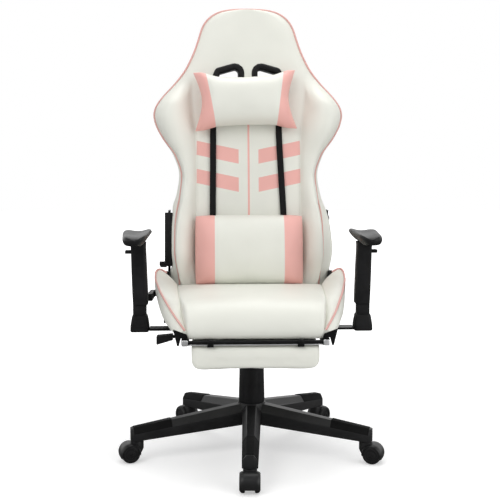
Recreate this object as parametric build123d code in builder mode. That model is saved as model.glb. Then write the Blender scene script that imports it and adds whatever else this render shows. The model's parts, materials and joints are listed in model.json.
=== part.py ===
from build123d import *
import os
from math import cos, radians, sin, tan

# Gaming chair with footrest, in millimetres.
# The origin is on the floor under the column, +Z is up and the sitter faces -Y.

# Base and casters
LEG_COUNT = 5
BASE_TURN = -2.9            # degrees that the base stands turned from the seat
HUB_R = 38
HUB_BOTTOM = 80
HUB_TOP = 138
LEG_ROOT_R = 30             # where the leg starts, inside the hub
LEG_TIP_R = 337
CASTER_INSET = 17           # from the leg's end to the caster stem
LEG_WALL = 4
LEG_TIP_ROUND = 22
LEG_ROOT = {"width": 50, "bottom": 80, "shoulder": 116, "top": 136, "ridge": 24}
LEG_TIP = {"width": 40, "bottom": 57, "shoulder": 76, "top": 91, "ridge": 18}
GRIP_LENGTH = 103
GRIP_INSET = 6              # from the leg's end to the grip
GRIP_THICK = 1.6
SOCKET_R = 10
SOCKET_TOP = 84
STEM_R = 5.5
STEM_TOP = 82
WHEEL_R = 25
WHEEL_WIDTH = 14
WHEEL_GAP = 24
WHEEL_EDGE = 2.5
CASTER_TRAIL = 20
AXLE_R = 3
FENDER_GAP = 0.8
FENDER_THICK = 2.4
HOOD_HEIGHT = 55.5
HOOD_FLOOR_GAP = 10

# Gas column and its covers
TUBE_R = 25
TUBE_WALL = 2
TUBE_BOTTOM = 70
TUBE_TOP = 305
TUBE_FLOOR = 4
BUSH_LENGTH = 75
CYLINDER_R = 14
CYLINDER_WALL = 2
CYLINDER_BOTTOM = 112
CYLINDER_TOP = 346
CYLINDER_CAP = 8
ROD_R = 5
PISTON_LENGTH = 10
PISTON_BOTTOM = 216
BEARING_R = 14
BEARING_HEIGHT = 7
ROD_COLLAR = 5
CLIP_R = 10
CLIP_THICK = 2
COVER_WALL = 2
COVER_OUTER_R = 35.5
COVER_OUTER_TOP_R = 33.5
COVER_OUTER_TOP = 233
COVER_MIDDLE_R = 31
COVER_MIDDLE_BOTTOM = 160
COVER_MIDDLE_TOP = 262
COVER_INNER_R = 28.6
COVER_INNER_WALL = 1.6
COVER_INNER_BOTTOM = 200

# Tilt mechanism
HOUSING_BOTTOM = 318
HOUSING_HALF_X = 70
HOUSING_FRONT = -96
HOUSING_REAR = 72
HOUSING_WALL = 3
HOUSING_FRONT_TOP = 346
HOUSING_REAR_TOP = 333
SOCKET_BOSS_R = 22
SOCKET_BOSS_TOP = 330
PIVOT_Y = -45
PIVOT_Z = 348
PIVOT_EAR = 9               # metal left round the tilt pin
TILT_PIN_R = 6
SPRING_Y = 46
SPRING_R = 15
SPRING_WIRE = 4
SPRING_TURNS = 4
KNOB_Y = -74
KNOB_R = 18
KNOB_HEIGHT = 44
KNOB_LOBES = 8
KNOB_SCREW_R = 5
LIFT_Y = -60
LIFT_Z = 331
LIFT_ROD_R = 4.5
LIFT_ROD_INNER_X = -46
LIFT_ROD_OUTER_X = -222
PADDLE_OUTER_X = -256
PADDLE_INNER_X = -212
PADDLE_HALF_Y = 13
PADDLE_BOTTOM = 311
PADDLE_TOP = 334

# Running and seating clearances
FIT = 0.05                  # radial clearance of pins, shafts and pressed seats
SOFT_GAP = 0.4              # between a soft piece and what it lies on
SIDE_GAP = 1.0              # between plates that turn past each other
BOLSTER_GAP = 1.3           # between the seat's bolsters and the sides of its cushion

# Seat
SEAT_FRONT = -255
SEAT_REAR = 153
SEAT_BOTTOM = 366
CUSHION_OVERHANG = 11       # of the cushion's front corners beside the frame
CUSHION_SPREAD = 36         # added to the half width at the rear
FRAME_TUBE = 20
FRAME_WALL = 2
FRAME_BOTTOM = 365
FRAME_HALF_X = 160
FRAME_FRONT = -234
FRAME_REAR = 150
CROSS_TUBE_Y = 92
WEBBING_THICK = 2
WEBBING_WIDTH = 45
WEBBING_COUNT = 6
PLATE_THICK = 3
PLATE_HALF_X = 100
PLATE_HALF_Y = 102
PLATE_BOLT_X = 84
PLATE_EAR_INNER = 72
PLATE_EAR_THICK = 4
BOLT_R = 4
BOLT_HEAD_R = 7
BOLT_HEAD = 5

# Cushion side profile, and how far its top drops at each share of the half width
CUSHION_CROWN_FRONT = 453
CUSHION_CROWN_REAR = 439
CUSHION_TOP_BOW = 5
CUSHION_ROLL_START = 408    # height where the front face starts to roll over
CUSHION_ROLL_DEPTH = 52
CUSHION_DROP_SHARES = [(0, 0), (0.4, 1), (0.75, 4), (1, 8)]
# Bolster stations: y, reach of the edge past the seam, edge height, reach of the foot, seam height
BOLSTER_STATIONS = [
    (-252, 4, 381, 14, 378),
    (-190, 24, 408, 31, 403),
    (-90, 42, 430, 40, 425),
    (20, 57, 452, 44, 435),
    (100, 63, 467, 42, 438),
    (SEAT_REAR, 51, 484, 32, 442),
]
BOLSTER_BOTTOM = 368
BOLSTER_BOW = 5

# Recline hinge
HINGE_Y = 200
HINGE_Z = 440
HINGE_EYE_R = 33
HINGE_PIN_R = 8
HINGE_PIN_HEAD_R = 13
HINGE_PIN_HEAD = 4
EAR_INNER_X = 237
EAR_THICK = 6
EAR_ARM_FRONT = 62
EAR_ARM_BOTTOM = 345
EAR_ARM_TOP = 367
EAR_TAB_INNER_X = 112
EAR_TAB_FRONT = 72
EAR_TAB_REAR = 122
EAR_TAB_THICK = 6
BRACKET_THICK = 6
BRACKET_WIDTH = 44
BRACKET_TOP = 645
COVER_STRIP_INNER_X = 223
COVER_STRIP_OUTER_X = 245
COVER_STRIP_BOTTOM = 492
COVER_STRIP_FRONT = 14      # depth behind the front of the back where the strip starts
COVER_FOOT_OUTER_X = 260
COVER_FOOT_HEIGHT = 13
LEVER_Y = 206
LEVER_Z = 408
LEVER_SIDE_GAP = 4          # between the lever and the bolster's edge
LEVER_THICK = 12
LEVER_FRONT_Y = 62
LEVER_END_BOTTOM = 407
LEVER_END_TOP = 427
LEVER_PIN_R = 5

# Back
BACK_BOTTOM = 430
BACK_FOOT_Y = 166.7
BACK_LEAN = 11.5            # degrees
BACK_CROWN = 4
BACK_EDGE_DEPTH = 16
BACK_SIDE_TAPER = 21
# Back stations: height, half width, half width of the centre panel, side bolster rise, thickness
BACK_STATIONS = [
    (BACK_BOTTOM, 200, 140, 6, 56),
    (458, 219, 146, 20, 68),
    (490, 233, 151, 34, 80),
    (530, 240, 152, 44, 86),
    (600, 237, 152, 44, 88),
    (640, 231, 152, 40, 88),
    (690, 213, 152, 33, 88),
    (750, 207, 152, 24, 88),
    (805, 221, 152, 28, 88),
    (860, 256, 155, 44, 88),
    (922, 275, 163, 52, 86),
    (968, 257, 168, 46, 82),
    (1020, 211, 163, 26, 78),
    (1080, 172, 134, 14, 74),
    (1160, 141, 104, 10, 68),
    (1213, 118, 84, 6, 60),
    (1241, 80, 54, 3, 46),
]
BACK_TUBE = 22
BACK_FRAME_X = 172          # centre line of the uprights
BACK_FRAME_DEPTH = 58       # centre line of the tubes behind the front of the back
BACK_FRAME_BOTTOM = 486
BACK_FRAME_TOP = 955
BACK_BOLT_HEIGHTS = (540, 622)

# Strap holes, straps and pillows
HOLE_CORNERS = [(14, 985), (126, 985), (106, 1038), (50, 1078), (14, 1073)]
HOLE_ROUND = 13
TRIM_WALL = 12
TRIM_PROUD = 2
STRAP_X = 94
STRAP_WIDTH = 18
STRAP_THICK = 1.6
STRAP_TOP = 1006            # where the straps pass through the holes
HEAD_BOTTOM = 884
HEAD_TOP = 1042
HEAD_SHIFT = -9             # the head pillow hangs off the middle
# Head pillow stations: x, reach up and down from its middle, thickness
HEAD_STATIONS = [(0, 64, 74, 92), (75, 69, 76, 88), (128, 87, 87, 70), (152, 82, 82, 24)]
LUMBAR_BOTTOM = 441
LUMBAR_TOP = 631
LUMBAR_SHIFT = 0
# Lumbar pillow stations: x, reach up and down from its middle, thickness
LUMBAR_STATIONS = [(0, 96, 96, 92), (80, 96, 96, 89), (130, 95, 95, 74), (156, 93, 93, 30)]

# Arms
ARM_OFFSET = 144            # from the frame's side to the middle of the arm post
ARM_BRACKET_INSET = 30
ARM_BRACKET_RISER = 31
ARM_BRACKET_HALF_Y = 22
ARM_BRACKET_BOTTOM = 339
ARM_BRACKET_THICK = 6
COLLAR_BOTTOM = 327
COLLAR_TOP = 375
COLLAR_FLARE = 348            # height where the collar starts to narrow
COLLAR_HALF = 26
POST_HALF_X = 18
POST_HALF_Y = 14
POST_WALL = 2.5
POST_TOP = 500
SLEEVE_HALF_X = 23
SLEEVE_HALF_Y = 19
SLEEVE_BOTTOM = 404
SLEEVE_TOP = 573
SLEEVE_FLANGE = 6
PAD_OFFSET = 5              # of the pad outwards from the post
PAD_HALF_X = 41
PAD_FRONT = -132
PAD_REAR = 112
PAD_TOP = 607
PAD_THICK = 30
TRIGGER_Z = 552
TRIGGER_HALF_Z = 9
TRIGGER_HALF_Y = 8
TRIGGER_REACH = 15

# Footrest
GUIDE_SIDE = 6              # between the frame and the guide tubes
GUIDE_SIZE = 18
GUIDE_WALL = 1.8
GUIDE_BOTTOM = 346.5
GUIDE_FRONT = -259.5
GUIDE_REAR = 60
RAIL_GAP = 0.15
RAIL_REAR = 50
GUIDE_TAB_THICK = 5
GUIDE_TAB_LENGTH = 22
GUIDE_PLATE_THICK = 4
GUIDE_PLATE_HALF = 16
GUIDE_WING_REACH = 30       # of the front plate's raised corner
GUIDE_WING_TOP = 387
BAR_Y = -266
BAR_R = 5.5
FOOT_PAD_HALF_X = 159
FOOT_PAD_TOP = 345.5
FOOT_PAD_BOTTOM = 287
FOOT_PAD_REAR = -104
FOOT_PAD_ROUND = 14
FOOT_LUG_X = 112
FOOT_LUG_WIDTH = 16
FOOT_LUG_R = 8

# Values worked out from the driving dimensions
CASTER_RING = LEG_TIP_R - CASTER_INSET
GRIP_END_R = LEG_TIP_R - GRIP_INSET
GRIP_START_R = GRIP_END_R - GRIP_LENGTH
CUSHION_FRONT_HALF = FRAME_HALF_X + CUSHION_OVERHANG
CUSHION_REAR_HALF = CUSHION_FRONT_HALF + CUSHION_SPREAD
CUSHION_DROPS = [(share * CUSHION_REAR_HALF, drop) for share, drop in CUSHION_DROP_SHARES]
BOLSTER_REACH = max(station[1] for station in BOLSTER_STATIONS)
LEVER_INNER_X = CUSHION_REAR_HALF + BOLSTER_REACH + LEVER_SIDE_GAP
LEVER_OUTER_X = LEVER_INNER_X + LEVER_THICK
ARM_X = FRAME_HALF_X + ARM_OFFSET
ARM_BRACKET_INNER_X = FRAME_HALF_X - ARM_BRACKET_INSET
PAD_X = ARM_X + PAD_OFFSET
GUIDE_X = FRAME_HALF_X + GUIDE_SIDE + GUIDE_SIZE / 2
LEG_ANGLES = [BASE_TURN - 90 + step * 360 / LEG_COUNT for step in range(LEG_COUNT)]
FRAME_TOP = FRAME_BOTTOM + FRAME_TUBE
PLATE_BOTTOM = FRAME_BOTTOM - PLATE_THICK
BEARING_BOTTOM = TUBE_BOTTOM + TUBE_FLOOR
BEARING_TOP = BEARING_BOTTOM + BEARING_HEIGHT
GUIDE_TOP = GUIDE_BOTTOM + GUIDE_SIZE
RAIL_HALF = GUIDE_SIZE / 2 - GUIDE_WALL - RAIL_GAP
BAR_Z = GUIDE_BOTTOM + GUIDE_SIZE / 2
PAD_BOTTOM = PAD_TOP - PAD_THICK

os.makedirs("parts", exist_ok=True)


def finish(piece, name):
    """Label a finished piece and write its file."""
    piece.part.label = name
    export_step(piece.part, f"parts/{name}.step")


def block(x, y, z, mode=Mode.ADD):
    """A box between the two limits given on each axis."""
    centre = tuple((low + high) / 2 for low, high in (x, y, z))
    size = [high - low for low, high in (x, y, z)]
    with Locations(centre):
        Box(*size, mode=mode)


def upright(radius, bottom, top, at=(0, 0), mode=Mode.ADD):
    """A cylinder standing on a height."""
    with Locations((at[0], at[1], bottom)):
        Cylinder(radius, top - bottom, align=(Align.CENTER, Align.CENTER, Align.MIN), mode=mode)


def crosswise(radius, x, y, z, mode=Mode.ADD):
    """A cylinder lying along X between two limits."""
    with Locations(((x[0] + x[1]) / 2, y, z)):
        Cylinder(radius, x[1] - x[0], rotation=(0, 90, 0), mode=mode)


def bowed(start, end, bow):
    """An arc between two points that swells to the left of its direction."""
    run_x = end[0] - start[0]
    run_y = end[1] - start[1]
    length = (run_x ** 2 + run_y ** 2) ** 0.5
    middle_x = (start[0] + end[0]) / 2 - run_y / length * bow
    middle_y = (start[1] + end[1]) / 2 + run_x / length * bow
    ThreePointArc(start, (middle_x, middle_y), end)


def leg_section(radius):
    """Sizes of a base leg's section at a distance from the column."""
    share = (radius - LEG_ROOT_R) / (LEG_TIP_R - LEG_ROOT_R)
    return {key: LEG_ROOT[key] + (LEG_TIP[key] - LEG_ROOT[key]) * share for key in LEG_ROOT}


def cushion_half(y):
    """Half width of the seat cushion at a place along the seat."""
    share = (y - SEAT_FRONT) / (SEAT_REAR - SEAT_FRONT)
    return CUSHION_FRONT_HALF + (CUSHION_REAR_HALF - CUSHION_FRONT_HALF) * share


def back_front(z):
    """Y of the back's front panel at a height."""
    return BACK_FOOT_Y + (z - BACK_BOTTOM) * tan(radians(BACK_LEAN))


# Star base: five hollow legs with bevelled tops round a hub
with BuildPart() as base_leg:
    for radius in (LEG_ROOT_R, LEG_TIP_R):
        size = leg_section(radius)
        half = size["width"] / 2
        ridge = size["ridge"] / 2
        with BuildSketch(Plane.YZ.offset(radius)):
            with BuildLine():
                Polyline(
                    (-half, size["bottom"]), (half, size["bottom"]), (half, size["shoulder"]),
                    (ridge, size["top"]), (-ridge, size["top"]), (-half, size["shoulder"]), close=True,
                )
            make_face()
    loft(ruled=True)
    with BuildSketch(Plane.XY):
        RectangleRounded(2 * LEG_TIP_R, LEG_ROOT["width"] + LEG_WALL, LEG_TIP_ROUND)
    extrude(amount=2 * HUB_TOP, mode=Mode.INTERSECT)
    for radius in (HUB_R + LEG_WALL, CASTER_RING):
        size = leg_section(radius)
        half = size["width"] / 2 - LEG_WALL
        ridge = size["ridge"] / 2 - LEG_WALL / 2
        with BuildSketch(Plane.YZ.offset(radius)):
            with BuildLine():
                Polyline(
                    (-half, size["bottom"] - LEG_WALL), (half, size["bottom"] - LEG_WALL),
                    (half, size["shoulder"] - LEG_WALL / 2), (ridge, size["top"] - LEG_WALL),
                    (-ridge, size["top"] - LEG_WALL), (-half, size["shoulder"] - LEG_WALL / 2), close=True,
                )
            make_face()
    loft(ruled=True, mode=Mode.SUBTRACT)
    upright(SOCKET_R, LEG_TIP["bottom"], SOCKET_TOP + LEG_WALL, at=(CASTER_RING, 0))
    upright(STEM_R + FIT, LEG_TIP["bottom"] - LEG_WALL, SOCKET_TOP, at=(CASTER_RING, 0), mode=Mode.SUBTRACT)

with BuildPart() as base_star:
    upright(HUB_R, HUB_BOTTOM, HUB_TOP)
    for angle in LEG_ANGLES:
        add(base_leg.part.rotate(Axis.Z, angle))
    upright(TUBE_R + FIT, HUB_BOTTOM - LEG_WALL, HUB_TOP + LEG_WALL, mode=Mode.SUBTRACT)
finish(base_star, "base_star")

# Foot grips: a textured cap over the outer third of each leg
with BuildPart() as foot_grip:
    for radius in (GRIP_START_R, GRIP_END_R):
        size = leg_section(radius)
        half = size["width"] / 2
        ridge = size["ridge"] / 2
        with BuildSketch(Plane.YZ.offset(radius)):
            with BuildLine():
                Polyline(
                    (-half, size["shoulder"]), (-ridge, size["top"]), (ridge, size["top"]),
                    (half, size["shoulder"]), (half, size["shoulder"] + GRIP_THICK),
                    (ridge, size["top"] + GRIP_THICK), (-ridge, size["top"] + GRIP_THICK),
                    (-half, size["shoulder"] + GRIP_THICK), close=True,
                )
            make_face()
    loft(ruled=True)

with BuildPart() as foot_grips:
    for angle in LEG_ANGLES:
        add(foot_grip.part.rotate(Axis.Z, angle))
finish(foot_grips, "foot_grips")

# Casters: a hood with its stem and axle, and twin wheels on the axle
WHEEL_INNER = WHEEL_GAP / 2
WHEEL_OUTER = WHEEL_INNER + WHEEL_WIDTH
FENDER_INNER_R = WHEEL_R + FENDER_GAP
FENDER_OUTER_R = FENDER_INNER_R + FENDER_THICK
WEB_HALF = WHEEL_INNER - SIDE_GAP

with BuildPart() as caster_hood:
    # middle web between the wheels, cut level above the floor
    with Locations((CASTER_TRAIL, 0, WHEEL_R)):
        Cylinder(FENDER_OUTER_R, 2 * WEB_HALF, rotation=(90, 0, 0))
    block((-SOCKET_R, CASTER_TRAIL), (-WEB_HALF, WEB_HALF), (WHEEL_R, HOOD_HEIGHT))
    # fender over the top of both wheels
    with BuildSketch(Plane.XZ):
        with Locations((CASTER_TRAIL, WHEEL_R)):
            Circle(FENDER_OUTER_R)
            Circle(FENDER_INNER_R, mode=Mode.SUBTRACT)
        with Locations((CASTER_TRAIL, WHEEL_R - FENDER_OUTER_R)):
            Rectangle(4 * WHEEL_R, 2 * FENDER_OUTER_R, mode=Mode.SUBTRACT)
    extrude(amount=WHEEL_OUTER, both=True)
    block((-2 * WHEEL_R, 3 * WHEEL_R), (-WHEEL_R, WHEEL_R), (-WHEEL_R, HOOD_FLOOR_GAP), mode=Mode.SUBTRACT)
    with Locations((CASTER_TRAIL, 0, WHEEL_R)):
        Cylinder(AXLE_R + FIT, 2 * WHEEL_OUTER, rotation=(90, 0, 0), mode=Mode.SUBTRACT)
    upright(STEM_R + FIT, WHEEL_R + 2 * AXLE_R, HOOD_HEIGHT + SIDE_GAP, mode=Mode.SUBTRACT)

with BuildPart() as caster_stem:
    upright(STEM_R, WHEEL_R + 2 * AXLE_R + FIT, STEM_TOP)

with BuildPart() as caster_axle:
    with Locations((CASTER_TRAIL, 0, WHEEL_R)):
        Cylinder(AXLE_R, 2 * (WHEEL_OUTER - SIDE_GAP), rotation=(90, 0, 0))

with BuildPart() as wheel_pair:
    for side in (-1, 1):
        with Locations((CASTER_TRAIL, side * (WHEEL_INNER + WHEEL_WIDTH / 2), WHEEL_R)):
            Cylinder(WHEEL_R, WHEEL_WIDTH, rotation=(90, 0, 0))
    chamfer(wheel_pair.edges().filter_by(GeomType.CIRCLE), WHEEL_EDGE)
    with Locations((CASTER_TRAIL, 0, WHEEL_R)):
        Cylinder(AXLE_R + FIT, 4 * WHEEL_OUTER, rotation=(90, 0, 0), mode=Mode.SUBTRACT)

for number, angle in enumerate(LEG_ANGLES, start=1):
    place = Location((CASTER_RING * cos(radians(angle)), CASTER_RING * sin(radians(angle)), 0), (0, 0, angle))
    with BuildPart() as placed_hood:
        add(caster_hood.part.moved(place))
        add(caster_stem.part.moved(place))
        add(caster_axle.part.moved(place))
    finish(placed_hood, f"caster_{number}_hood")
    with BuildPart() as placed_wheels:
        add(wheel_pair.part.moved(place))
    finish(placed_wheels, f"caster_{number}_wheels")

# Gas column: outer tube in the hub, with its guide bush
with BuildPart() as column_tube:
    upright(TUBE_R, TUBE_BOTTOM, TUBE_TOP)
    upright(TUBE_R - TUBE_WALL, TUBE_BOTTOM + TUBE_FLOOR, TUBE_TOP + TUBE_WALL, mode=Mode.SUBTRACT)
    upright(ROD_R + FIT, TUBE_BOTTOM - TUBE_WALL, TUBE_BOTTOM + TUBE_FLOOR, mode=Mode.SUBTRACT)
finish(column_tube, "column_tube")

with BuildPart() as column_bush:
    upright(TUBE_R - TUBE_WALL - FIT, TUBE_TOP - BUSH_LENGTH, TUBE_TOP)
    upright(CYLINDER_R + FIT, TUBE_TOP - 2 * BUSH_LENGTH, TUBE_TOP + BUSH_LENGTH, mode=Mode.SUBTRACT)
finish(column_bush, "column_bush")

# Piston rod on its thrust bearing, held under the tube by a clip
with BuildPart() as piston_rod:
    upright(ROD_R, TUBE_BOTTOM - 2 * CLIP_THICK, PISTON_BOTTOM)
    upright(BEARING_R, BEARING_TOP, BEARING_TOP + ROD_COLLAR)
    upright(CYLINDER_R - CYLINDER_WALL - FIT, PISTON_BOTTOM, PISTON_BOTTOM + PISTON_LENGTH)
finish(piston_rod, "piston_rod")

with BuildPart() as thrust_bearing:
    upright(BEARING_R, BEARING_BOTTOM, BEARING_TOP)
    upright(ROD_R + FIT, BEARING_BOTTOM - BEARING_HEIGHT, BEARING_TOP + BEARING_HEIGHT, mode=Mode.SUBTRACT)
finish(thrust_bearing, "thrust_bearing")

with BuildPart() as column_clip:
    upright(CLIP_R, TUBE_BOTTOM - CLIP_THICK, TUBE_BOTTOM)
    upright(ROD_R + FIT, TUBE_BOTTOM - CLIP_R, TUBE_BOTTOM + CLIP_R, mode=Mode.SUBTRACT)
    block((0, CLIP_R), (-ROD_R / 2, ROD_R / 2), (TUBE_BOTTOM - CLIP_R, TUBE_BOTTOM + CLIP_R),
          mode=Mode.SUBTRACT)
finish(column_clip, "column_clip")

with BuildPart() as gas_cylinder:
    upright(CYLINDER_R, CYLINDER_BOTTOM, CYLINDER_TOP)
    upright(CYLINDER_R - CYLINDER_WALL, CYLINDER_BOTTOM + CYLINDER_CAP, CYLINDER_TOP - CYLINDER_CAP,
            mode=Mode.SUBTRACT)
    upright(ROD_R + FIT, CYLINDER_BOTTOM - CYLINDER_CAP, CYLINDER_BOTTOM + CYLINDER_CAP, mode=Mode.SUBTRACT)
finish(gas_cylinder, "gas_cylinder")

# Telescoping covers round the column
with BuildPart() as column_cover_outer:
    cover_height = COVER_OUTER_TOP - HUB_TOP
    with Locations((0, 0, HUB_TOP)):
        Cone(COVER_OUTER_R, COVER_OUTER_TOP_R, cover_height, align=(Align.CENTER, Align.CENTER, Align.MIN))
        Cone(COVER_OUTER_R - COVER_WALL, COVER_OUTER_TOP_R - COVER_WALL, cover_height,
             align=(Align.CENTER, Align.CENTER, Align.MIN), mode=Mode.SUBTRACT)
finish(column_cover_outer, "column_cover_outer")

with BuildPart() as column_cover_middle:
    upright(COVER_MIDDLE_R, COVER_MIDDLE_BOTTOM, COVER_MIDDLE_TOP)
    upright(COVER_MIDDLE_R - COVER_WALL, COVER_MIDDLE_BOTTOM - COVER_WALL, COVER_MIDDLE_TOP + COVER_WALL,
            mode=Mode.SUBTRACT)
finish(column_cover_middle, "column_cover_middle")

with BuildPart() as column_cover_inner:
    upright(COVER_INNER_R, COVER_INNER_BOTTOM, HOUSING_BOTTOM)
    upright(COVER_INNER_R - COVER_INNER_WALL, COVER_INNER_BOTTOM - COVER_WALL, HOUSING_BOTTOM + COVER_WALL,
            mode=Mode.SUBTRACT)
finish(column_cover_inner, "column_cover_inner")

# Tilt mechanism: open pressed tray with a socket for the column and cheeks for the tilt pin
CHEEK_TOP = PIVOT_Z + PIVOT_EAR
CHEEK_HALF_Y = TILT_PIN_R + PIVOT_EAR
HOUSING_FLOOR = HOUSING_BOTTOM + HOUSING_WALL
with BuildPart() as mechanism_housing:
    with BuildSketch(Plane.YZ):
        with BuildLine():
            Polyline(
                (HOUSING_FRONT, HOUSING_BOTTOM), (HOUSING_REAR, HOUSING_BOTTOM),
                (HOUSING_REAR, HOUSING_REAR_TOP), (PIVOT_Y + CHEEK_HALF_Y, HOUSING_FRONT_TOP),
                (PIVOT_Y + CHEEK_HALF_Y, CHEEK_TOP), (PIVOT_Y - CHEEK_HALF_Y, CHEEK_TOP),
                (PIVOT_Y - CHEEK_HALF_Y, HOUSING_FRONT_TOP), (HOUSING_FRONT, HOUSING_FRONT_TOP), close=True,
            )
        make_face()
    extrude(amount=HOUSING_HALF_X, both=True)
    block((HOUSING_WALL - HOUSING_HALF_X, HOUSING_HALF_X - HOUSING_WALL),
          (HOUSING_FRONT + HOUSING_WALL, HOUSING_REAR - HOUSING_WALL),
          (HOUSING_FLOOR, 2 * CHEEK_TOP), mode=Mode.SUBTRACT)
    upright(SOCKET_BOSS_R, HOUSING_BOTTOM, SOCKET_BOSS_TOP)
    upright(CYLINDER_R + FIT, HOUSING_BOTTOM - HOUSING_WALL, SOCKET_BOSS_TOP + HOUSING_WALL,
            mode=Mode.SUBTRACT)
    upright(KNOB_SCREW_R + FIT, HOUSING_BOTTOM - HOUSING_WALL, HOUSING_FLOOR + HOUSING_WALL, at=(0, KNOB_Y),
            mode=Mode.SUBTRACT)
    crosswise(TILT_PIN_R + FIT, (-2 * HOUSING_HALF_X, 2 * HOUSING_HALF_X), PIVOT_Y, PIVOT_Z,
              mode=Mode.SUBTRACT)
    # slot for the height lever on the sitter's right
    block((-HOUSING_HALF_X - HOUSING_WALL, HOUSING_WALL - HOUSING_HALF_X),
          (LIFT_Y - 2 * LIFT_ROD_R, LIFT_Y + 2 * LIFT_ROD_R),
          (LIFT_Z - 2 * LIFT_ROD_R, LIFT_Z + 2 * LIFT_ROD_R), mode=Mode.SUBTRACT)
finish(mechanism_housing, "mechanism_housing")

with BuildPart() as tilt_pin:
    crosswise(TILT_PIN_R, (-PLATE_EAR_INNER - 2 * PLATE_EAR_THICK, PLATE_EAR_INNER + 2 * PLATE_EAR_THICK),
              PIVOT_Y, PIVOT_Z)
finish(tilt_pin, "tilt_pin")

with BuildPart() as tilt_spring:
    coil_height = PLATE_BOTTOM - HOUSING_FLOOR - SPRING_WIRE - 2 * SOFT_GAP
    coil_foot = (0, SPRING_Y, HOUSING_FLOOR + SPRING_WIRE / 2 + SOFT_GAP)
    with BuildLine() as coil:
        Helix(coil_height / SPRING_TURNS, coil_height, SPRING_R, center=coil_foot)
    coil_start = coil.line @ 0
    with BuildSketch(Plane(coil_start, z_dir=coil.line % 0)):
        Circle(SPRING_WIRE / 2)
    sweep(path=coil.line)
finish(tilt_spring, "tilt_spring")

with BuildPart() as tension_knob:
    upright(KNOB_R, HOUSING_BOTTOM - KNOB_HEIGHT - SIDE_GAP, HOUSING_BOTTOM - SIDE_GAP, at=(0, KNOB_Y))
    fillet(tension_knob.edges().group_by(Axis.Z)[0], KNOB_R / 4)
    with Locations((0, KNOB_Y, HOUSING_BOTTOM - KNOB_HEIGHT / 2)):
        with PolarLocations(KNOB_R + SIDE_GAP, KNOB_LOBES):
            Cylinder(KNOB_R / 6, 2 * KNOB_HEIGHT, mode=Mode.SUBTRACT)
    upright(KNOB_SCREW_R, HOUSING_BOTTOM - KNOB_HEIGHT, HOUSING_FLOOR + KNOB_SCREW_R, at=(0, KNOB_Y))
finish(tension_knob, "tension_knob")

# Height lever: rod out of the housing's side with a flat paddle on its end
with BuildPart() as lift_lever_rod:
    crosswise(LIFT_ROD_R, (LIFT_ROD_OUTER_X, LIFT_ROD_INNER_X), LIFT_Y, LIFT_Z)
    block((LIFT_ROD_INNER_X - LIFT_ROD_R, LIFT_ROD_INNER_X + LIFT_ROD_R),
          (LIFT_Y - LIFT_ROD_R, LIFT_Y + LIFT_ROD_R), (HOUSING_FLOOR + SOFT_GAP, LIFT_Z))
finish(lift_lever_rod, "lift_lever_rod")

with BuildPart() as lift_lever_paddle:
    with BuildSketch(Plane.XZ.offset(-LIFT_Y)):
        with BuildLine():
            Polyline(
                (PADDLE_INNER_X, LIFT_Z + 1.6 * LIFT_ROD_R), (PADDLE_INNER_X, LIFT_Z - 1.6 * LIFT_ROD_R),
                (PADDLE_OUTER_X, PADDLE_BOTTOM), (PADDLE_OUTER_X, PADDLE_TOP), close=True,
            )
        make_face()
    extrude(amount=PADDLE_HALF_Y, both=True)
    fillet(lift_lever_paddle.edges().filter_by(Axis.Y), LIFT_ROD_R / 2)
    crosswise(LIFT_ROD_R + FIT, (LIFT_ROD_OUTER_X - FIT, PADDLE_INNER_X + LIFT_ROD_R), LIFT_Y, LIFT_Z,
              mode=Mode.SUBTRACT)
finish(lift_lever_paddle, "lift_lever_paddle")

# Seat plate: bolted under the frame, with two ears on the tilt pin
with BuildPart() as seat_plate:
    block((-PLATE_HALF_X, PLATE_HALF_X), (-PLATE_HALF_Y, PLATE_HALF_Y), (PLATE_BOTTOM, FRAME_BOTTOM))
    for side in (-1, 1):
        ear = sorted((side * PLATE_EAR_INNER, side * (PLATE_EAR_INNER + PLATE_EAR_THICK)))
        block(ear, (PIVOT_Y - CHEEK_HALF_Y, PIVOT_Y + CHEEK_HALF_Y), (PIVOT_Z - PIVOT_EAR, PLATE_BOTTOM))
    crosswise(TILT_PIN_R + FIT, (-PLATE_HALF_X, PLATE_HALF_X), PIVOT_Y, PIVOT_Z, mode=Mode.SUBTRACT)
    with Locations((0, 0, PLATE_BOTTOM)):
        with GridLocations(2 * PLATE_BOLT_X, 2 * CROSS_TUBE_Y, 2, 2):
            Cylinder(BOLT_R + FIT, 4 * PLATE_THICK, mode=Mode.SUBTRACT)
finish(seat_plate, "seat_plate")

# Seat frame: square tubes in a ring with two cross tubes
INNER_X = FRAME_HALF_X - FRAME_TUBE
with BuildPart() as frame_hollow:
    hollow_z = (FRAME_BOTTOM + FRAME_WALL, FRAME_TOP - FRAME_WALL)
    block((FRAME_WALL - FRAME_HALF_X, FRAME_HALF_X - FRAME_WALL),
          (FRAME_FRONT + FRAME_WALL, FRAME_REAR - FRAME_WALL), hollow_z)
    block((-INNER_X - FRAME_WALL, INNER_X + FRAME_WALL),
          (FRAME_FRONT + FRAME_TUBE - FRAME_WALL, FRAME_REAR - FRAME_TUBE + FRAME_WALL), hollow_z,
          mode=Mode.SUBTRACT)

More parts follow.
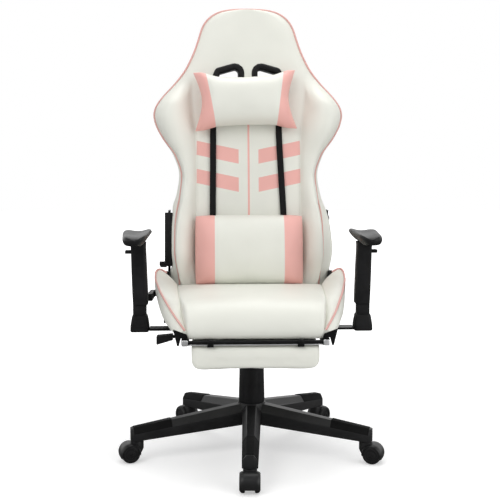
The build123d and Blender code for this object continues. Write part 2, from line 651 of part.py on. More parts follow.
with BuildPart() as seat_frame:
    block((-FRAME_HALF_X, FRAME_HALF_X), (FRAME_FRONT, FRAME_REAR), (FRAME_BOTTOM, FRAME_TOP))
    block((-INNER_X, INNER_X), (FRAME_FRONT + FRAME_TUBE, FRAME_REAR - FRAME_TUBE),
          (FRAME_BOTTOM - FRAME_TUBE, FRAME_TOP + FRAME_TUBE), mode=Mode.SUBTRACT)
    for y in (-CROSS_TUBE_Y, CROSS_TUBE_Y):
        block((-INNER_X, INNER_X), (y - FRAME_TUBE / 2, y + FRAME_TUBE / 2), (FRAME_BOTTOM, FRAME_TOP))
        block((-INNER_X, INNER_X), (y - FRAME_TUBE / 2 + FRAME_WALL, y + FRAME_TUBE / 2 - FRAME_WALL),
              hollow_z, mode=Mode.SUBTRACT)
    add(frame_hollow.part, mode=Mode.SUBTRACT)
    with Locations((0, 0, FRAME_BOTTOM)):
        with GridLocations(2 * PLATE_BOLT_X, 2 * CROSS_TUBE_Y, 2, 2):
            Cylinder(BOLT_R + FIT, FRAME_TUBE, mode=Mode.SUBTRACT)
finish(seat_frame, "seat_frame")

# Bolts that hold the seat plate to the cross tubes
with BuildPart() as seat_bolts:
    for x in (-PLATE_BOLT_X, PLATE_BOLT_X):
        for y in (-CROSS_TUBE_Y, CROSS_TUBE_Y):
            upright(BOLT_R, PLATE_BOTTOM, FRAME_BOTTOM + FRAME_TUBE / 2 - SIDE_GAP, at=(x, y))
            upright(BOLT_HEAD_R, PLATE_BOTTOM - BOLT_HEAD, PLATE_BOTTOM, at=(x, y))
finish(seat_bolts, "seat_bolts")

# Elastic webbing across the frame, under the cushion
with BuildPart() as seat_webbing:
    webbing_step = (FRAME_REAR - FRAME_FRONT - WEBBING_WIDTH) / (WEBBING_COUNT - 1)
    for strap in range(WEBBING_COUNT):
        front = FRAME_FRONT + strap * webbing_step
        block((-FRAME_HALF_X, FRAME_HALF_X), (front, front + WEBBING_WIDTH),
              (FRAME_TOP, FRAME_TOP + WEBBING_THICK))
finish(seat_webbing, "seat_webbing")

# Seat cushion: crowned along and across, rolled over the front of the frame
with BuildPart() as seat_cushion:
    left_half = [(-x, drop) for x, drop in reversed(CUSHION_DROPS[1:])]
    for x, drop in left_half + CUSHION_DROPS:
        roll_start = (SEAT_FRONT, CUSHION_ROLL_START - drop)
        roll_end = (SEAT_FRONT + CUSHION_ROLL_DEPTH, CUSHION_CROWN_FRONT - drop)
        rear_top = (SEAT_REAR, CUSHION_CROWN_REAR - drop)
        with BuildSketch(Plane.YZ.offset(x)):
            with BuildLine():
                Polyline(rear_top, (SEAT_REAR, SEAT_BOTTOM), (SEAT_FRONT + SIDE_GAP, SEAT_BOTTOM), roll_start)
                bowed(roll_start, roll_end, CUSHION_ROLL_DEPTH / 5)
                bowed(roll_end, rear_top, CUSHION_TOP_BOW)
            make_face()
    loft()
    with BuildSketch(Plane.XY.offset(SEAT_BOTTOM)):
        with BuildLine():
            Polyline(
                (-CUSHION_FRONT_HALF, SEAT_FRONT), (CUSHION_FRONT_HALF, SEAT_FRONT),
                (CUSHION_REAR_HALF, SEAT_REAR), (-CUSHION_REAR_HALF, SEAT_REAR), close=True,
            )
        make_face()
    extrude(amount=CUSHION_CROWN_FRONT, mode=Mode.INTERSECT)
    block((-FRAME_HALF_X - SOFT_GAP, FRAME_HALF_X + SOFT_GAP), (FRAME_FRONT - SOFT_GAP, SEAT_REAR + SOFT_GAP),
          (0, FRAME_TOP + WEBBING_THICK + SOFT_GAP), mode=Mode.SUBTRACT)
finish(seat_cushion, "seat_cushion")

# Side bolsters: flared wings that rise from the front corners to the back
with BuildPart() as seat_bolsters:
    for y, edge_reach, edge_z, foot_reach, seam_z in BOLSTER_STATIONS:
        seam_x = cushion_half(y) + BOLSTER_GAP
        edge_x = seam_x + edge_reach
        foot_x = seam_x + foot_reach
        with BuildSketch(Plane.XZ.offset(-y)):
            with BuildLine():
                bowed((seam_x, seam_z), (edge_x, edge_z), BOLSTER_BOW)
                bowed((edge_x, edge_z), (foot_x, BOLSTER_BOTTOM), BOLSTER_BOW)
                Polyline((foot_x, BOLSTER_BOTTOM), (seam_x, BOLSTER_BOTTOM), (seam_x, seam_z))
            make_face()
    loft()
    mirror(about=Plane.YZ)
finish(seat_bolsters, "seat_bolsters")

# Recline hinge plates: a tab under the frame, an arm along the seat and an eye behind it
EAR_OUTER_X = EAR_INNER_X + EAR_THICK
with BuildPart() as hinge_plates:
    with BuildSketch(Plane.YZ.offset(EAR_INNER_X)):
        with BuildLine():
            Polyline(
                (EAR_ARM_FRONT, EAR_ARM_BOTTOM), (HINGE_Y + HINGE_EYE_R, EAR_ARM_BOTTOM),
                (HINGE_Y + HINGE_EYE_R, HINGE_Z), (HINGE_Y - HINGE_EYE_R, HINGE_Z),
                (HINGE_Y - HINGE_EYE_R, EAR_ARM_TOP), (EAR_ARM_FRONT, EAR_ARM_TOP), close=True,
            )
        make_face()
        with Locations((HINGE_Y, HINGE_Z)):
            Circle(HINGE_EYE_R)
            Circle(HINGE_PIN_R + FIT, mode=Mode.SUBTRACT)
        with Locations((LEVER_Y, LEVER_Z)):
            Circle(LEVER_PIN_R + FIT, mode=Mode.SUBTRACT)
    extrude(amount=EAR_THICK)
    block((EAR_TAB_INNER_X, EAR_INNER_X), (EAR_TAB_FRONT, EAR_TAB_REAR),
          (FRAME_BOTTOM - EAR_TAB_THICK, FRAME_BOTTOM))
    mirror(about=Plane.YZ)
finish(hinge_plates, "hinge_plates")

BRACKET_OUTER_X = EAR_INNER_X - SIDE_GAP
BRACKET_INNER_X = BRACKET_OUTER_X - BRACKET_THICK
with BuildPart() as hinge_pins:
    crosswise(HINGE_PIN_R, (BRACKET_INNER_X - SIDE_GAP, EAR_OUTER_X), HINGE_Y, HINGE_Z)
    crosswise(HINGE_PIN_HEAD_R, (EAR_OUTER_X, EAR_OUTER_X + HINGE_PIN_HEAD), HINGE_Y, HINGE_Z)
    mirror(about=Plane.YZ)
finish(hinge_pins, "hinge_pins")

# Recline lever on the sitter's right: a flat arm on a pin with a block-shaped end
with BuildPart() as recline_lever:
    with BuildSketch(Plane.YZ.offset(-LEVER_OUTER_X)):
        with BuildLine():
            Polyline(
                (LEVER_FRONT_Y, LEVER_END_BOTTOM), (LEVER_FRONT_Y + 2 * LEVER_PIN_R, LEVER_END_BOTTOM),
                (LEVER_Y, LEVER_Z - 2 * LEVER_PIN_R), (LEVER_Y + 2 * LEVER_PIN_R, LEVER_Z),
                (LEVER_Y, LEVER_Z + 2 * LEVER_PIN_R), (LEVER_FRONT_Y + 6 * LEVER_PIN_R, LEVER_END_TOP),
                (LEVER_FRONT_Y, LEVER_END_TOP), close=True,
            )
        make_face()
    extrude(amount=LEVER_OUTER_X - LEVER_INNER_X)
    fillet(recline_lever.edges().filter_by(Axis.X), LEVER_PIN_R / 2)
    crosswise(2 * LEVER_PIN_R, (-LEVER_INNER_X, -EAR_OUTER_X - SOFT_GAP), LEVER_Y, LEVER_Z)
    crosswise(LEVER_PIN_R, (-LEVER_INNER_X, -EAR_INNER_X - SIDE_GAP), LEVER_Y, LEVER_Z)
finish(recline_lever, "recline_lever")

# Arm brackets under the seat, and the arm posts with their flared collars
ARM_BRACKET_TOP = ARM_BRACKET_BOTTOM + ARM_BRACKET_THICK
with BuildPart() as arm_brackets:
    block((ARM_BRACKET_INNER_X, ARM_X - COLLAR_HALF), (-ARM_BRACKET_HALF_Y, ARM_BRACKET_HALF_Y),
          (ARM_BRACKET_BOTTOM, ARM_BRACKET_TOP))
    block((ARM_BRACKET_INNER_X, ARM_BRACKET_INNER_X + ARM_BRACKET_RISER),
          (-ARM_BRACKET_HALF_Y, ARM_BRACKET_HALF_Y), (ARM_BRACKET_TOP, FRAME_BOTTOM))
    mirror(about=Plane.YZ)
finish(arm_brackets, "arm_brackets")

with BuildPart() as arm_posts:
    with BuildSketch(Plane.XY.offset(COLLAR_BOTTOM)):
        with Locations((ARM_X, 0)):
            RectangleRounded(2 * COLLAR_HALF, 2 * COLLAR_HALF, COLLAR_HALF / 3)
    extrude(amount=COLLAR_FLARE - COLLAR_BOTTOM)
    with BuildSketch(Plane.XY.offset(COLLAR_FLARE)):
        with Locations((ARM_X, 0)):
            RectangleRounded(2 * COLLAR_HALF, 2 * COLLAR_HALF, COLLAR_HALF / 3)
    with BuildSketch(Plane.XY.offset(COLLAR_TOP)):
        with Locations((ARM_X, 0)):
            RectangleRounded(2 * (POST_HALF_X + POST_WALL), 2 * (POST_HALF_Y + POST_WALL), COLLAR_HALF / 3)
    loft()
    with BuildSketch(Plane.XY.offset(COLLAR_TOP)):
        with Locations((ARM_X, 0)):
            RectangleRounded(2 * POST_HALF_X, 2 * POST_HALF_Y, 2 * POST_WALL)
    extrude(amount=POST_TOP - COLLAR_TOP)
    with BuildSketch(Plane.XY.offset(COLLAR_BOTTOM + 2 * POST_WALL)):
        with Locations((ARM_X, 0)):
            RectangleRounded(2 * (POST_HALF_X - POST_WALL), 2 * (POST_HALF_Y - POST_WALL), POST_WALL)
    extrude(amount=POST_TOP - COLLAR_BOTTOM, mode=Mode.SUBTRACT)
    mirror(about=Plane.YZ)
finish(arm_posts, "arm_posts")

# Arm pad for the sitter's right: rolled under, its upper face dished and higher on the inner side
with BuildPart() as pad_shape:
    pad_length = PAD_REAR - PAD_FRONT
    with BuildSketch(Plane.XY.offset(PAD_BOTTOM)):
        with Locations((-PAD_X, (PAD_FRONT + PAD_REAR) / 2)):
            RectangleRounded(2 * PAD_HALF_X, pad_length, PAD_HALF_X / 2)
    extrude(amount=PAD_THICK)
    fillet(pad_shape.faces().sort_by(Axis.Z)[0].edges(), PAD_THICK / 3)
    with BuildSketch(Plane.XZ.offset(-PAD_REAR - PAD_THICK)):
        with BuildLine():
            inner = (PAD_HALF_X - PAD_X, PAD_TOP)
            outer = (-PAD_HALF_X - PAD_X, PAD_TOP - PAD_THICK / 3)
            ThreePointArc(inner, (-PAD_X, PAD_TOP - PAD_THICK / 4), outer)
            Polyline(
                outer, (outer[0] - PAD_THICK, outer[1]), (outer[0] - PAD_THICK, 2 * PAD_TOP),
                (inner[0] + PAD_THICK, 2 * PAD_TOP), (inner[0] + PAD_THICK, inner[1]), inner,
            )
        make_face()
    extrude(amount=pad_length + 2 * PAD_THICK, mode=Mode.SUBTRACT)

# Arms: sleeve over the post, pad on its flange, trigger in a slot of the sleeve's outer wall
for hand, side in (("right", -1), ("left", 1)):
    slot_x = sorted((side * (ARM_X + POST_HALF_X), side * (ARM_X + 2 * SLEEVE_HALF_X)))
    with BuildPart() as arm_sleeve:
        with BuildSketch(Plane.XY.offset(SLEEVE_BOTTOM)):
            with Locations((side * ARM_X, 0)):
                RectangleRounded(2 * SLEEVE_HALF_X, 2 * SLEEVE_HALF_Y, 3 * POST_WALL)
        extrude(amount=SLEEVE_TOP - SLEEVE_BOTTOM)
        with BuildSketch(Plane.XY.offset(SLEEVE_TOP)):
            with Locations((side * ARM_X, 0)):
                RectangleRounded(2 * SLEEVE_HALF_X + 2 * SLEEVE_FLANGE, 4 * SLEEVE_HALF_Y, 3 * POST_WALL)
        extrude(amount=PAD_BOTTOM - SLEEVE_TOP)
        with BuildSketch(Plane.XY.offset(SLEEVE_BOTTOM)):
            with Locations((side * ARM_X, 0)):
                RectangleRounded(2 * POST_HALF_X + 4 * FIT, 2 * POST_HALF_Y + 4 * FIT, 2 * POST_WALL)
        extrude(amount=SLEEVE_TOP - SLEEVE_BOTTOM, mode=Mode.SUBTRACT)
        block(slot_x, (-TRIGGER_HALF_Y - SOFT_GAP, TRIGGER_HALF_Y + SOFT_GAP),
              (TRIGGER_Z - TRIGGER_HALF_Z, TRIGGER_Z + TRIGGER_HALF_Z), mode=Mode.SUBTRACT)
    finish(arm_sleeve, f"arm_sleeve_{hand}")

    with BuildPart() as arm_pad:
        add(pad_shape.part if side < 0 else pad_shape.part.mirror(Plane.YZ))
    finish(arm_pad, f"arm_pad_{hand}")

    with BuildPart() as arm_trigger:
        trigger_root = ARM_X + POST_HALF_X + SIDE_GAP
        trigger_x = sorted((side * trigger_root, side * (ARM_X + SLEEVE_HALF_X + TRIGGER_REACH)))
        block(trigger_x, (-TRIGGER_HALF_Y, TRIGGER_HALF_Y),
              (TRIGGER_Z - TRIGGER_HALF_Z / 2, TRIGGER_Z + TRIGGER_HALF_Z / 2))
        fillet(arm_trigger.edges().filter_by(Axis.Y), TRIGGER_HALF_Z / 4)
    finish(arm_trigger, f"arm_trigger_{hand}")

# Footrest: guide tubes under the frame, rails in them, a cross bar and a pad that turns on it
GUIDE_HALF = GUIDE_SIZE / 2
BORE_HALF = GUIDE_HALF - GUIDE_WALL
with BuildPart() as footrest_guides:
    block((GUIDE_X - GUIDE_HALF, GUIDE_X + GUIDE_HALF), (GUIDE_FRONT, GUIDE_REAR), (GUIDE_BOTTOM, GUIDE_TOP))
    # front plate with a raised outer corner over the front of the seat
    with BuildSketch(Plane.XZ.offset(-GUIDE_FRONT)):
        with BuildLine():
            Polyline(
                (GUIDE_X - GUIDE_PLATE_HALF, GUIDE_BOTTOM), (GUIDE_X + GUIDE_PLATE_HALF, GUIDE_BOTTOM),
                (GUIDE_X + GUIDE_WING_REACH, GUIDE_WING_TOP), (GUIDE_X + GUIDE_PLATE_HALF, GUIDE_WING_TOP),
                (GUIDE_X, GUIDE_TOP), (GUIDE_X - GUIDE_PLATE_HALF, GUIDE_TOP), close=True,
            )
        make_face()
    extrude(amount=-GUIDE_PLATE_THICK)
    for y in (FRAME_FRONT, GUIDE_REAR - GUIDE_TAB_LENGTH):
        block((INNER_X, GUIDE_X - GUIDE_HALF), (y, y + GUIDE_TAB_LENGTH),
              (FRAME_BOTTOM - GUIDE_TAB_THICK, FRAME_BOTTOM))
    block((GUIDE_X - BORE_HALF, GUIDE_X + BORE_HALF), (2 * GUIDE_FRONT, 2 * GUIDE_REAR),
          (GUIDE_BOTTOM + GUIDE_WALL, GUIDE_TOP - GUIDE_WALL), mode=Mode.SUBTRACT)
    mirror(about=Plane.YZ)
finish(footrest_guides, "footrest_guides")

with BuildPart() as footrest_rails:
    block((GUIDE_X - RAIL_HALF, GUIDE_X + RAIL_HALF), (BAR_Y - RAIL_HALF, RAIL_REAR),
          (BAR_Z - RAIL_HALF, BAR_Z + RAIL_HALF))
    crosswise(BAR_R + FIT, (GUIDE_X - RAIL_HALF - SIDE_GAP, GUIDE_X), BAR_Y, BAR_Z, mode=Mode.SUBTRACT)
    mirror(about=Plane.YZ)
finish(footrest_rails, "footrest_rails")

with BuildPart() as footrest_bar:
    crosswise(BAR_R, (-GUIDE_X + FIT, GUIDE_X - FIT), BAR_Y, BAR_Z)
finish(footrest_bar, "footrest_bar")

with BuildPart() as footrest_hinges:
    for x in (-FOOT_LUG_X, FOOT_LUG_X):
        lug = (x - FOOT_LUG_WIDTH / 2, x + FOOT_LUG_WIDTH / 2)
        crosswise(FOOT_LUG_R, lug, BAR_Y, BAR_Z)
        block(lug, (BAR_Y - FOOT_LUG_R, BAR_Y + FOOT_LUG_R), (FOOT_PAD_TOP, BAR_Z))
        block(lug, (BAR_Y - FOOT_LUG_R, BAR_Y + 4 * FOOT_LUG_R), (FOOT_PAD_TOP, FOOT_PAD_TOP + PLATE_THICK))
        crosswise(BAR_R + FIT, (2 * lug[0] - x, 2 * lug[1] - x), BAR_Y, BAR_Z, mode=Mode.SUBTRACT)
finish(footrest_hinges, "footrest_hinges")

with BuildPart() as footrest_pad:
    with BuildSketch(Plane.XZ.offset(-BAR_Y)):
        with BuildLine():
            low = FOOT_PAD_HALF_X - FOOT_PAD_ROUND
            rise = FOOT_PAD_BOTTOM + FOOT_PAD_ROUND
            Polyline((-FOOT_PAD_HALF_X, rise), (-FOOT_PAD_HALF_X, FOOT_PAD_TOP),
                     (FOOT_PAD_HALF_X, FOOT_PAD_TOP), (FOOT_PAD_HALF_X, rise))
            RadiusArc((FOOT_PAD_HALF_X, rise), (low, FOOT_PAD_BOTTOM), FOOT_PAD_ROUND)
            Line((low, FOOT_PAD_BOTTOM), (-low, FOOT_PAD_BOTTOM))
            RadiusArc((-low, FOOT_PAD_BOTTOM), (-FOOT_PAD_HALF_X, rise), FOOT_PAD_ROUND)
        make_face()
    extrude(amount=BAR_Y - FOOT_PAD_REAR)
    fillet(footrest_pad.faces().sort_by(Axis.Z)[0].edges(), FOOT_PAD_ROUND / 2)
finish(footrest_pad, "footrest_pad")

# Back: a padded shell lofted up its height, with bolsters along both sides
BACK_THICK = max(station[4] for station in BACK_STATIONS)
LEAN_UP = (0, sin(radians(BACK_LEAN)), cos(radians(BACK_LEAN)))


def back_outline(z, half, panel, rise, thick):
    """Closed outline of the back at a height: front panel, side bolsters and flat rear."""
    front = back_front(z)
    seam = (panel, front)
    crest = (half - (half - panel) / 3, front - rise)
    edge = (half, front + BACK_EDGE_DEPTH)
    flank = (half - BACK_SIDE_TAPER, front + (BACK_EDGE_DEPTH + thick) / 2)
    corner = (half - 2 * BACK_SIDE_TAPER, front + thick)
    mirrored = [(-x, y) for x, y in (seam, crest, edge, flank, corner)]
    ThreePointArc(mirrored[0], (0, front - BACK_CROWN), seam)
    bowed(seam, crest, -BACK_CROWN)
    bowed(crest, edge, -rise / 4)
    Polyline(edge, flank, corner, mirrored[4], mirrored[3], mirrored[2])
    bowed(mirrored[2], mirrored[1], -rise / 4)
    bowed(mirrored[1], mirrored[0], -BACK_CROWN)


def lean_level(z, depth=0):
    """Plane square to the lean of the back, its local Y pointing backwards."""
    return Plane((0, back_front(z) + depth, z), x_dir=(1, 0, 0), z_dir=LEAN_UP)


def pillow_section(x, z, thickness_start):
    """Plane across a pillow: local X runs up the back, local Y points forwards."""
    return Plane((x, back_front(z) - thickness_start, z), x_dir=LEAN_UP, z_dir=(1, 0, 0))


# Back frame: two uprights and three cross tubes
BACK_INNER_TUBE = BACK_TUBE - 2 * FRAME_WALL
UPRIGHT_LENGTH = (BACK_FRAME_TOP - BACK_FRAME_BOTTOM) / LEAN_UP[2]
with BuildPart() as back_frame_solid:
    with BuildSketch(lean_level(BACK_FRAME_BOTTOM, BACK_FRAME_DEPTH)):
        with Locations((-BACK_FRAME_X, 0), (BACK_FRAME_X, 0)):
            Rectangle(BACK_TUBE, BACK_TUBE)
    extrude(amount=UPRIGHT_LENGTH)
    for share in (0, 0.5, 1):
        cross_level = (UPRIGHT_LENGTH - BACK_TUBE) * share
        with BuildSketch(lean_level(BACK_FRAME_BOTTOM, BACK_FRAME_DEPTH).offset(cross_level)):
            Rectangle(2 * BACK_FRAME_X, BACK_TUBE)
        extrude(amount=BACK_TUBE)

with BuildPart() as back_frame:
    add(back_frame_solid.part)
    with BuildSketch(lean_level(BACK_FRAME_BOTTOM, BACK_FRAME_DEPTH)):
        with Locations((-BACK_FRAME_X, 0), (BACK_FRAME_X, 0)):
            Rectangle(BACK_INNER_TUBE, BACK_INNER_TUBE)
    extrude(amount=UPRIGHT_LENGTH, mode=Mode.SUBTRACT)
    for share in (0, 0.5, 1):
        cross_level = (UPRIGHT_LENGTH - BACK_TUBE) * share + FRAME_WALL
        with BuildSketch(lean_level(BACK_FRAME_BOTTOM, BACK_FRAME_DEPTH).offset(cross_level)):
            Rectangle(2 * BACK_FRAME_X - BACK_TUBE, BACK_INNER_TUBE)
        extrude(amount=BACK_INNER_TUBE, mode=Mode.SUBTRACT)
    for z in BACK_BOLT_HEIGHTS:
        for side in (-1, 1):
            bolt_x = sorted((side * BACK_FRAME_X, side * (BACK_FRAME_X + BACK_TUBE)))
            crosswise(BOLT_R + FIT, bolt_x, back_front(z) + BACK_FRAME_DEPTH, z, mode=Mode.SUBTRACT)
finish(back_frame, "back_frame")

# Strap hole outlines through the head of the back
with BuildPart() as strap_holes:
    for side in (-1, 1):
        with BuildSketch(Plane.XZ) as hole_outline:
            with BuildLine():
                Polyline(*[(side * x, z) for x, z in HOLE_CORNERS], close=True)
            make_face()
            fillet(hole_outline.vertices(), HOLE_ROUND)
        extrude(amount=-2 * HEAD_TOP)

with BuildPart() as backrest_pad:
    for station in BACK_STATIONS:
        with BuildSketch(Plane.XY.offset(station[0])):
            with BuildLine():
                back_outline(*station)
            make_face()
    loft()
    add(strap_holes.part, mode=Mode.SUBTRACT)
    add(back_frame_solid.part, mode=Mode.SUBTRACT)
    for z in BACK_BOLT_HEIGHTS:
        for side in (-1, 1):
            bolt_x = sorted((side * BACK_FRAME_X, side * 2 * BACK_FRAME_X))
            crosswise(BOLT_R + SOFT_GAP, bolt_x, back_front(z) + BACK_FRAME_DEPTH, z, mode=Mode.SUBTRACT)
    # relief for the cover strip on the sitter's right
    block((-2 * COVER_STRIP_OUTER_X, SIDE_GAP - COVER_STRIP_INNER_X), (0, 2 * HINGE_Y),
          (COVER_STRIP_BOTTOM - 2 * BACK_EDGE_DEPTH, BRACKET_TOP + BACK_EDGE_DEPTH), mode=Mode.SUBTRACT)
finish(backrest_pad, "backrest_pad")

# Plastic trims that line the strap holes
with BuildPart() as strap_hole_trims:
    for side in (-1, 1):
        with BuildSketch(Plane.XZ) as trim_outline:
            with BuildLine():
                Polyline(*[(side * x, z) for x, z in HOLE_CORNERS], close=True)
            make_face()
            fillet(trim_outline.vertices(), HOLE_ROUND)
            offset(amount=-FIT, mode=Mode.REPLACE)
            offset(amount=-TRIM_WALL, mode=Mode.SUBTRACT)
        extrude(amount=-2 * HEAD_TOP)
    trim_low = HOLE_CORNERS[0][1] - TRIM_WALL
    trim_high = HOLE_CORNERS[3][1] + TRIM_WALL
    trim_front = BACK_CROWN + TRIM_PROUD
    trim_rear = BACK_STATIONS[-5][4] + TRIM_PROUD
    with BuildSketch(Plane.YZ):
        with BuildLine():
            Polyline(
                (back_front(trim_low) - trim_front, trim_low), (back_front(trim_low) + trim_rear, trim_low),
                (back_front(trim_high) + trim_rear, trim_high),
                (back_front(trim_high) - trim_front, trim_high), close=True,
            )
        make_face()
    extrude(amount=2 * HOLE_CORNERS[1][0], both=True, mode=Mode.INTERSECT)
finish(strap_hole_trims, "strap_hole_trims")

# Pillow straps: flat loops round the back, through the holes and under the foot of the back
STRAP_FRONT = BACK_CROWN + TRIM_PROUD + SOFT_GAP
STRAP_REAR = BACK_THICK + SOFT_GAP
with BuildPart() as pillow_straps:
    for side in (-1, 1):
        strap_low = BACK_BOTTOM - SOFT_GAP
        with BuildSketch(Plane.YZ.offset(side * STRAP_X - STRAP_WIDTH / 2)):
            with BuildLine():
                Polyline(
                    (back_front(strap_low) - STRAP_FRONT, strap_low),
                    (back_front(strap_low) + STRAP_REAR, strap_low),
                    (back_front(STRAP_TOP) + STRAP_REAR, STRAP_TOP),
                    (back_front(STRAP_TOP) - STRAP_FRONT, STRAP_TOP), close=True,
                )
            loop = make_face()
            offset(amount=STRAP_THICK, mode=Mode.ADD)
            add(loop, mode=Mode.SUBTRACT)
        extrude(amount=STRAP_WIDTH)
finish(pillow_straps, "pillow_straps")

# Head and lumbar pillows: crowned bags with drawn-in ends
PILLOW_START = STRAP_FRONT + STRAP_THICK + SOFT_GAP
for name, stations, shift, height in (
    ("head_pillow", HEAD_STATIONS, HEAD_SHIFT, (HEAD_BOTTOM + HEAD_TOP) / 2),
    ("lumbar_pillow", LUMBAR_STATIONS, LUMBAR_SHIFT, (LUMBAR_BOTTOM + LUMBAR_TOP) / 2),
):
    with BuildPart() as pillow:
        mirrored_stations = [(-station[0], *station[1:]) for station in reversed(stations[1:])]
        for x, up, down, thick in mirrored_stations + stations:
            shoulder = thick / 3
            with BuildSketch(pillow_section(x + shift, height, PILLOW_START)):
                with BuildLine():
                    Polyline((up, shoulder), (up, 0), (-down, 0), (-down, shoulder))
                    ThreePointArc((-down, shoulder), ((up - down) / 2, thick), (up, shoulder))
                make_face()
        loft()
    finish(pillow, name)

# Side brackets that carry the back on the hinge pins
BRACKET_DEPTHS = (BACK_FRAME_DEPTH - BRACKET_WIDTH / 2, BACK_FRAME_DEPTH + BRACKET_WIDTH / 2)
BRACKET_BEND = HINGE_Z + 1.3 * HINGE_EYE_R
with BuildPart() as back_brackets:
    with BuildSketch(Plane.YZ.offset(BRACKET_INNER_X)):
        with BuildLine():
            Polyline(
                (HINGE_Y - HINGE_EYE_R, HINGE_Z),
                (back_front(BRACKET_BEND) + BRACKET_DEPTHS[0], BRACKET_BEND),
                (back_front(BRACKET_TOP) + BRACKET_DEPTHS[0], BRACKET_TOP),
                (back_front(BRACKET_TOP) + BRACKET_DEPTHS[1], BRACKET_TOP),
                (back_front(BRACKET_BEND) + BRACKET_DEPTHS[1], BRACKET_BEND),
                (HINGE_Y + HINGE_EYE_R, HINGE_Z), close=True,
            )
        make_face()
        with Locations((HINGE_Y, HINGE_Z)):
            Circle(HINGE_EYE_R)
            Circle(HINGE_PIN_R + FIT, mode=Mode.SUBTRACT)
        with Locations(*[(back_front(z) + BACK_FRAME_DEPTH, z) for z in BACK_BOLT_HEIGHTS]):
            Circle(BOLT_R + FIT, mode=Mode.SUBTRACT)
    extrude(amount=BRACKET_THICK)
    mirror(about=Plane.YZ)
finish(back_brackets, "back_brackets")

# Bolts from the brackets through the padding into the back frame
with BuildPart() as back_bolts:
    for z in BACK_BOLT_HEIGHTS:
        bolt_y = back_front(z) + BACK_FRAME_DEPTH
        crosswise(BOLT_R, (BACK_FRAME_X + BACK_INNER_TUBE / 2 - SIDE_GAP, BRACKET_OUTER_X), bolt_y, z)
        crosswise(BOLT_HEAD_R, (BRACKET_OUTER_X, BRACKET_OUTER_X + BOLT_HEAD), bolt_y, z)
    mirror(about=Plane.YZ)
finish(back_bolts, "back_bolts")

# Plastic cover strip over the bracket on the sitter's right, flared at its foot
with BuildPart() as bracket_cover:
    cover_wall = BRACKET_OUTER_X + BOLT_HEAD + SIDE_GAP
    with BuildSketch(lean_level(COVER_STRIP_BOTTOM)):
        with BuildLine():
            Polyline(
                (-COVER_STRIP_INNER_X, COVER_STRIP_FRONT), (-COVER_STRIP_OUTER_X, COVER_STRIP_FRONT),
                (-COVER_STRIP_OUTER_X, BRACKET_DEPTHS[1]), (-cover_wall, BRACKET_DEPTHS[1]),
                (-cover_wall, BRACKET_DEPTHS[0] - SIDE_GAP),
                (-COVER_STRIP_INNER_X, BRACKET_DEPTHS[0] - SIDE_GAP), close=True,
            )
        make_face()
    extrude(amount=(BRACKET_TOP - COVER_STRIP_BOTTOM) / LEAN_UP[2])
    with BuildSketch(lean_level(COVER_STRIP_BOTTOM)):
        with BuildLine():
            Polyline(
                (-COVER_STRIP_INNER_X, COVER_STRIP_FRONT), (-COVER_FOOT_OUTER_X, COVER_STRIP_FRONT),
                (-COVER_FOOT_OUTER_X, BRACKET_DEPTHS[1]), (-cover_wall, BRACKET_DEPTHS[1]),
                (-cover_wall, BRACKET_DEPTHS[0] - SIDE_GAP),
                (-COVER_STRIP_INNER_X, BRACKET_DEPTHS[0] - SIDE_GAP), close=True,
            )
        make_face()
    extrude(amount=COVER_FOOT_HEIGHT)
finish(bracket_cover, "bracket_cover")
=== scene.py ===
import json
import math

import bmesh
import bpy
import numpy as np
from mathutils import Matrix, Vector, noise


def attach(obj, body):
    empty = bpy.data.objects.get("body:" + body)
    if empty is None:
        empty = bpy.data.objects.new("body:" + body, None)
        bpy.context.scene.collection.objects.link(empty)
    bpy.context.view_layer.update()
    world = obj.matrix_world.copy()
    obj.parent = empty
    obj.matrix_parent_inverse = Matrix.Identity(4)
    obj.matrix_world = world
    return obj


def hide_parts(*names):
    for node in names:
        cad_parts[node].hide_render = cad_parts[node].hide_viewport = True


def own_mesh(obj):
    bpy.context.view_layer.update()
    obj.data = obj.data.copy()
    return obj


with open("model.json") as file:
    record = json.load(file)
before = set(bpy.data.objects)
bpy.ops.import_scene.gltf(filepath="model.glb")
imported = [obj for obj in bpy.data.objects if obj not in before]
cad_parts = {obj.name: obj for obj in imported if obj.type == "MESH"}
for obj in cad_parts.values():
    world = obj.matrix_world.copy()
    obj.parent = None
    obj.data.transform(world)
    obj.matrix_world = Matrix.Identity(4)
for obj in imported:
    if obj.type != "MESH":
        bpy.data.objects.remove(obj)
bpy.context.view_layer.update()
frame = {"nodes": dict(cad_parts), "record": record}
scene = bpy.context.scene
scene.view_settings.view_transform = "Standard"

# Sizes in this script are in millimetres and become metres where a mesh is made.
MM = 0.001
LEAN = math.radians(11.5)           # lean of the back
BACK_BOTTOM = 430
BACK_FOOT_Y = 166.7

# Colours, linear
CREAM = (0.81, 0.815, 0.745, 1)
PINK = (0.88, 0.47, 0.425, 1)
PIPING_PINK = (0.76, 0.43, 0.395, 1)
BLACK = (0.0075, 0.0075, 0.008, 1)
SOFT_BLACK = (0.0138, 0.0138, 0.0144, 1)


def new_object(name, data):
    """An object for some data, linked to the scene."""
    thing = bpy.data.objects.new(name, data)
    scene.collection.objects.link(thing)
    return thing


def add_camera():
    """Camera at the photograph's place: a long lens in front, a little above the arms."""
    data = bpy.data.cameras.new("front_camera")
    data.sensor_width = 36
    data.lens = 72.99
    data.shift_y = -0.03
    data.clip_end = 50
    camera = new_object("front_camera", data)
    camera.location = (-0.1055, -2.732, 0.8615)
    camera.rotation_euler = (math.radians(84.467), 0, math.radians(-2.117))
    scene.camera = camera


add_camera()


# Shader groups that several finishes share

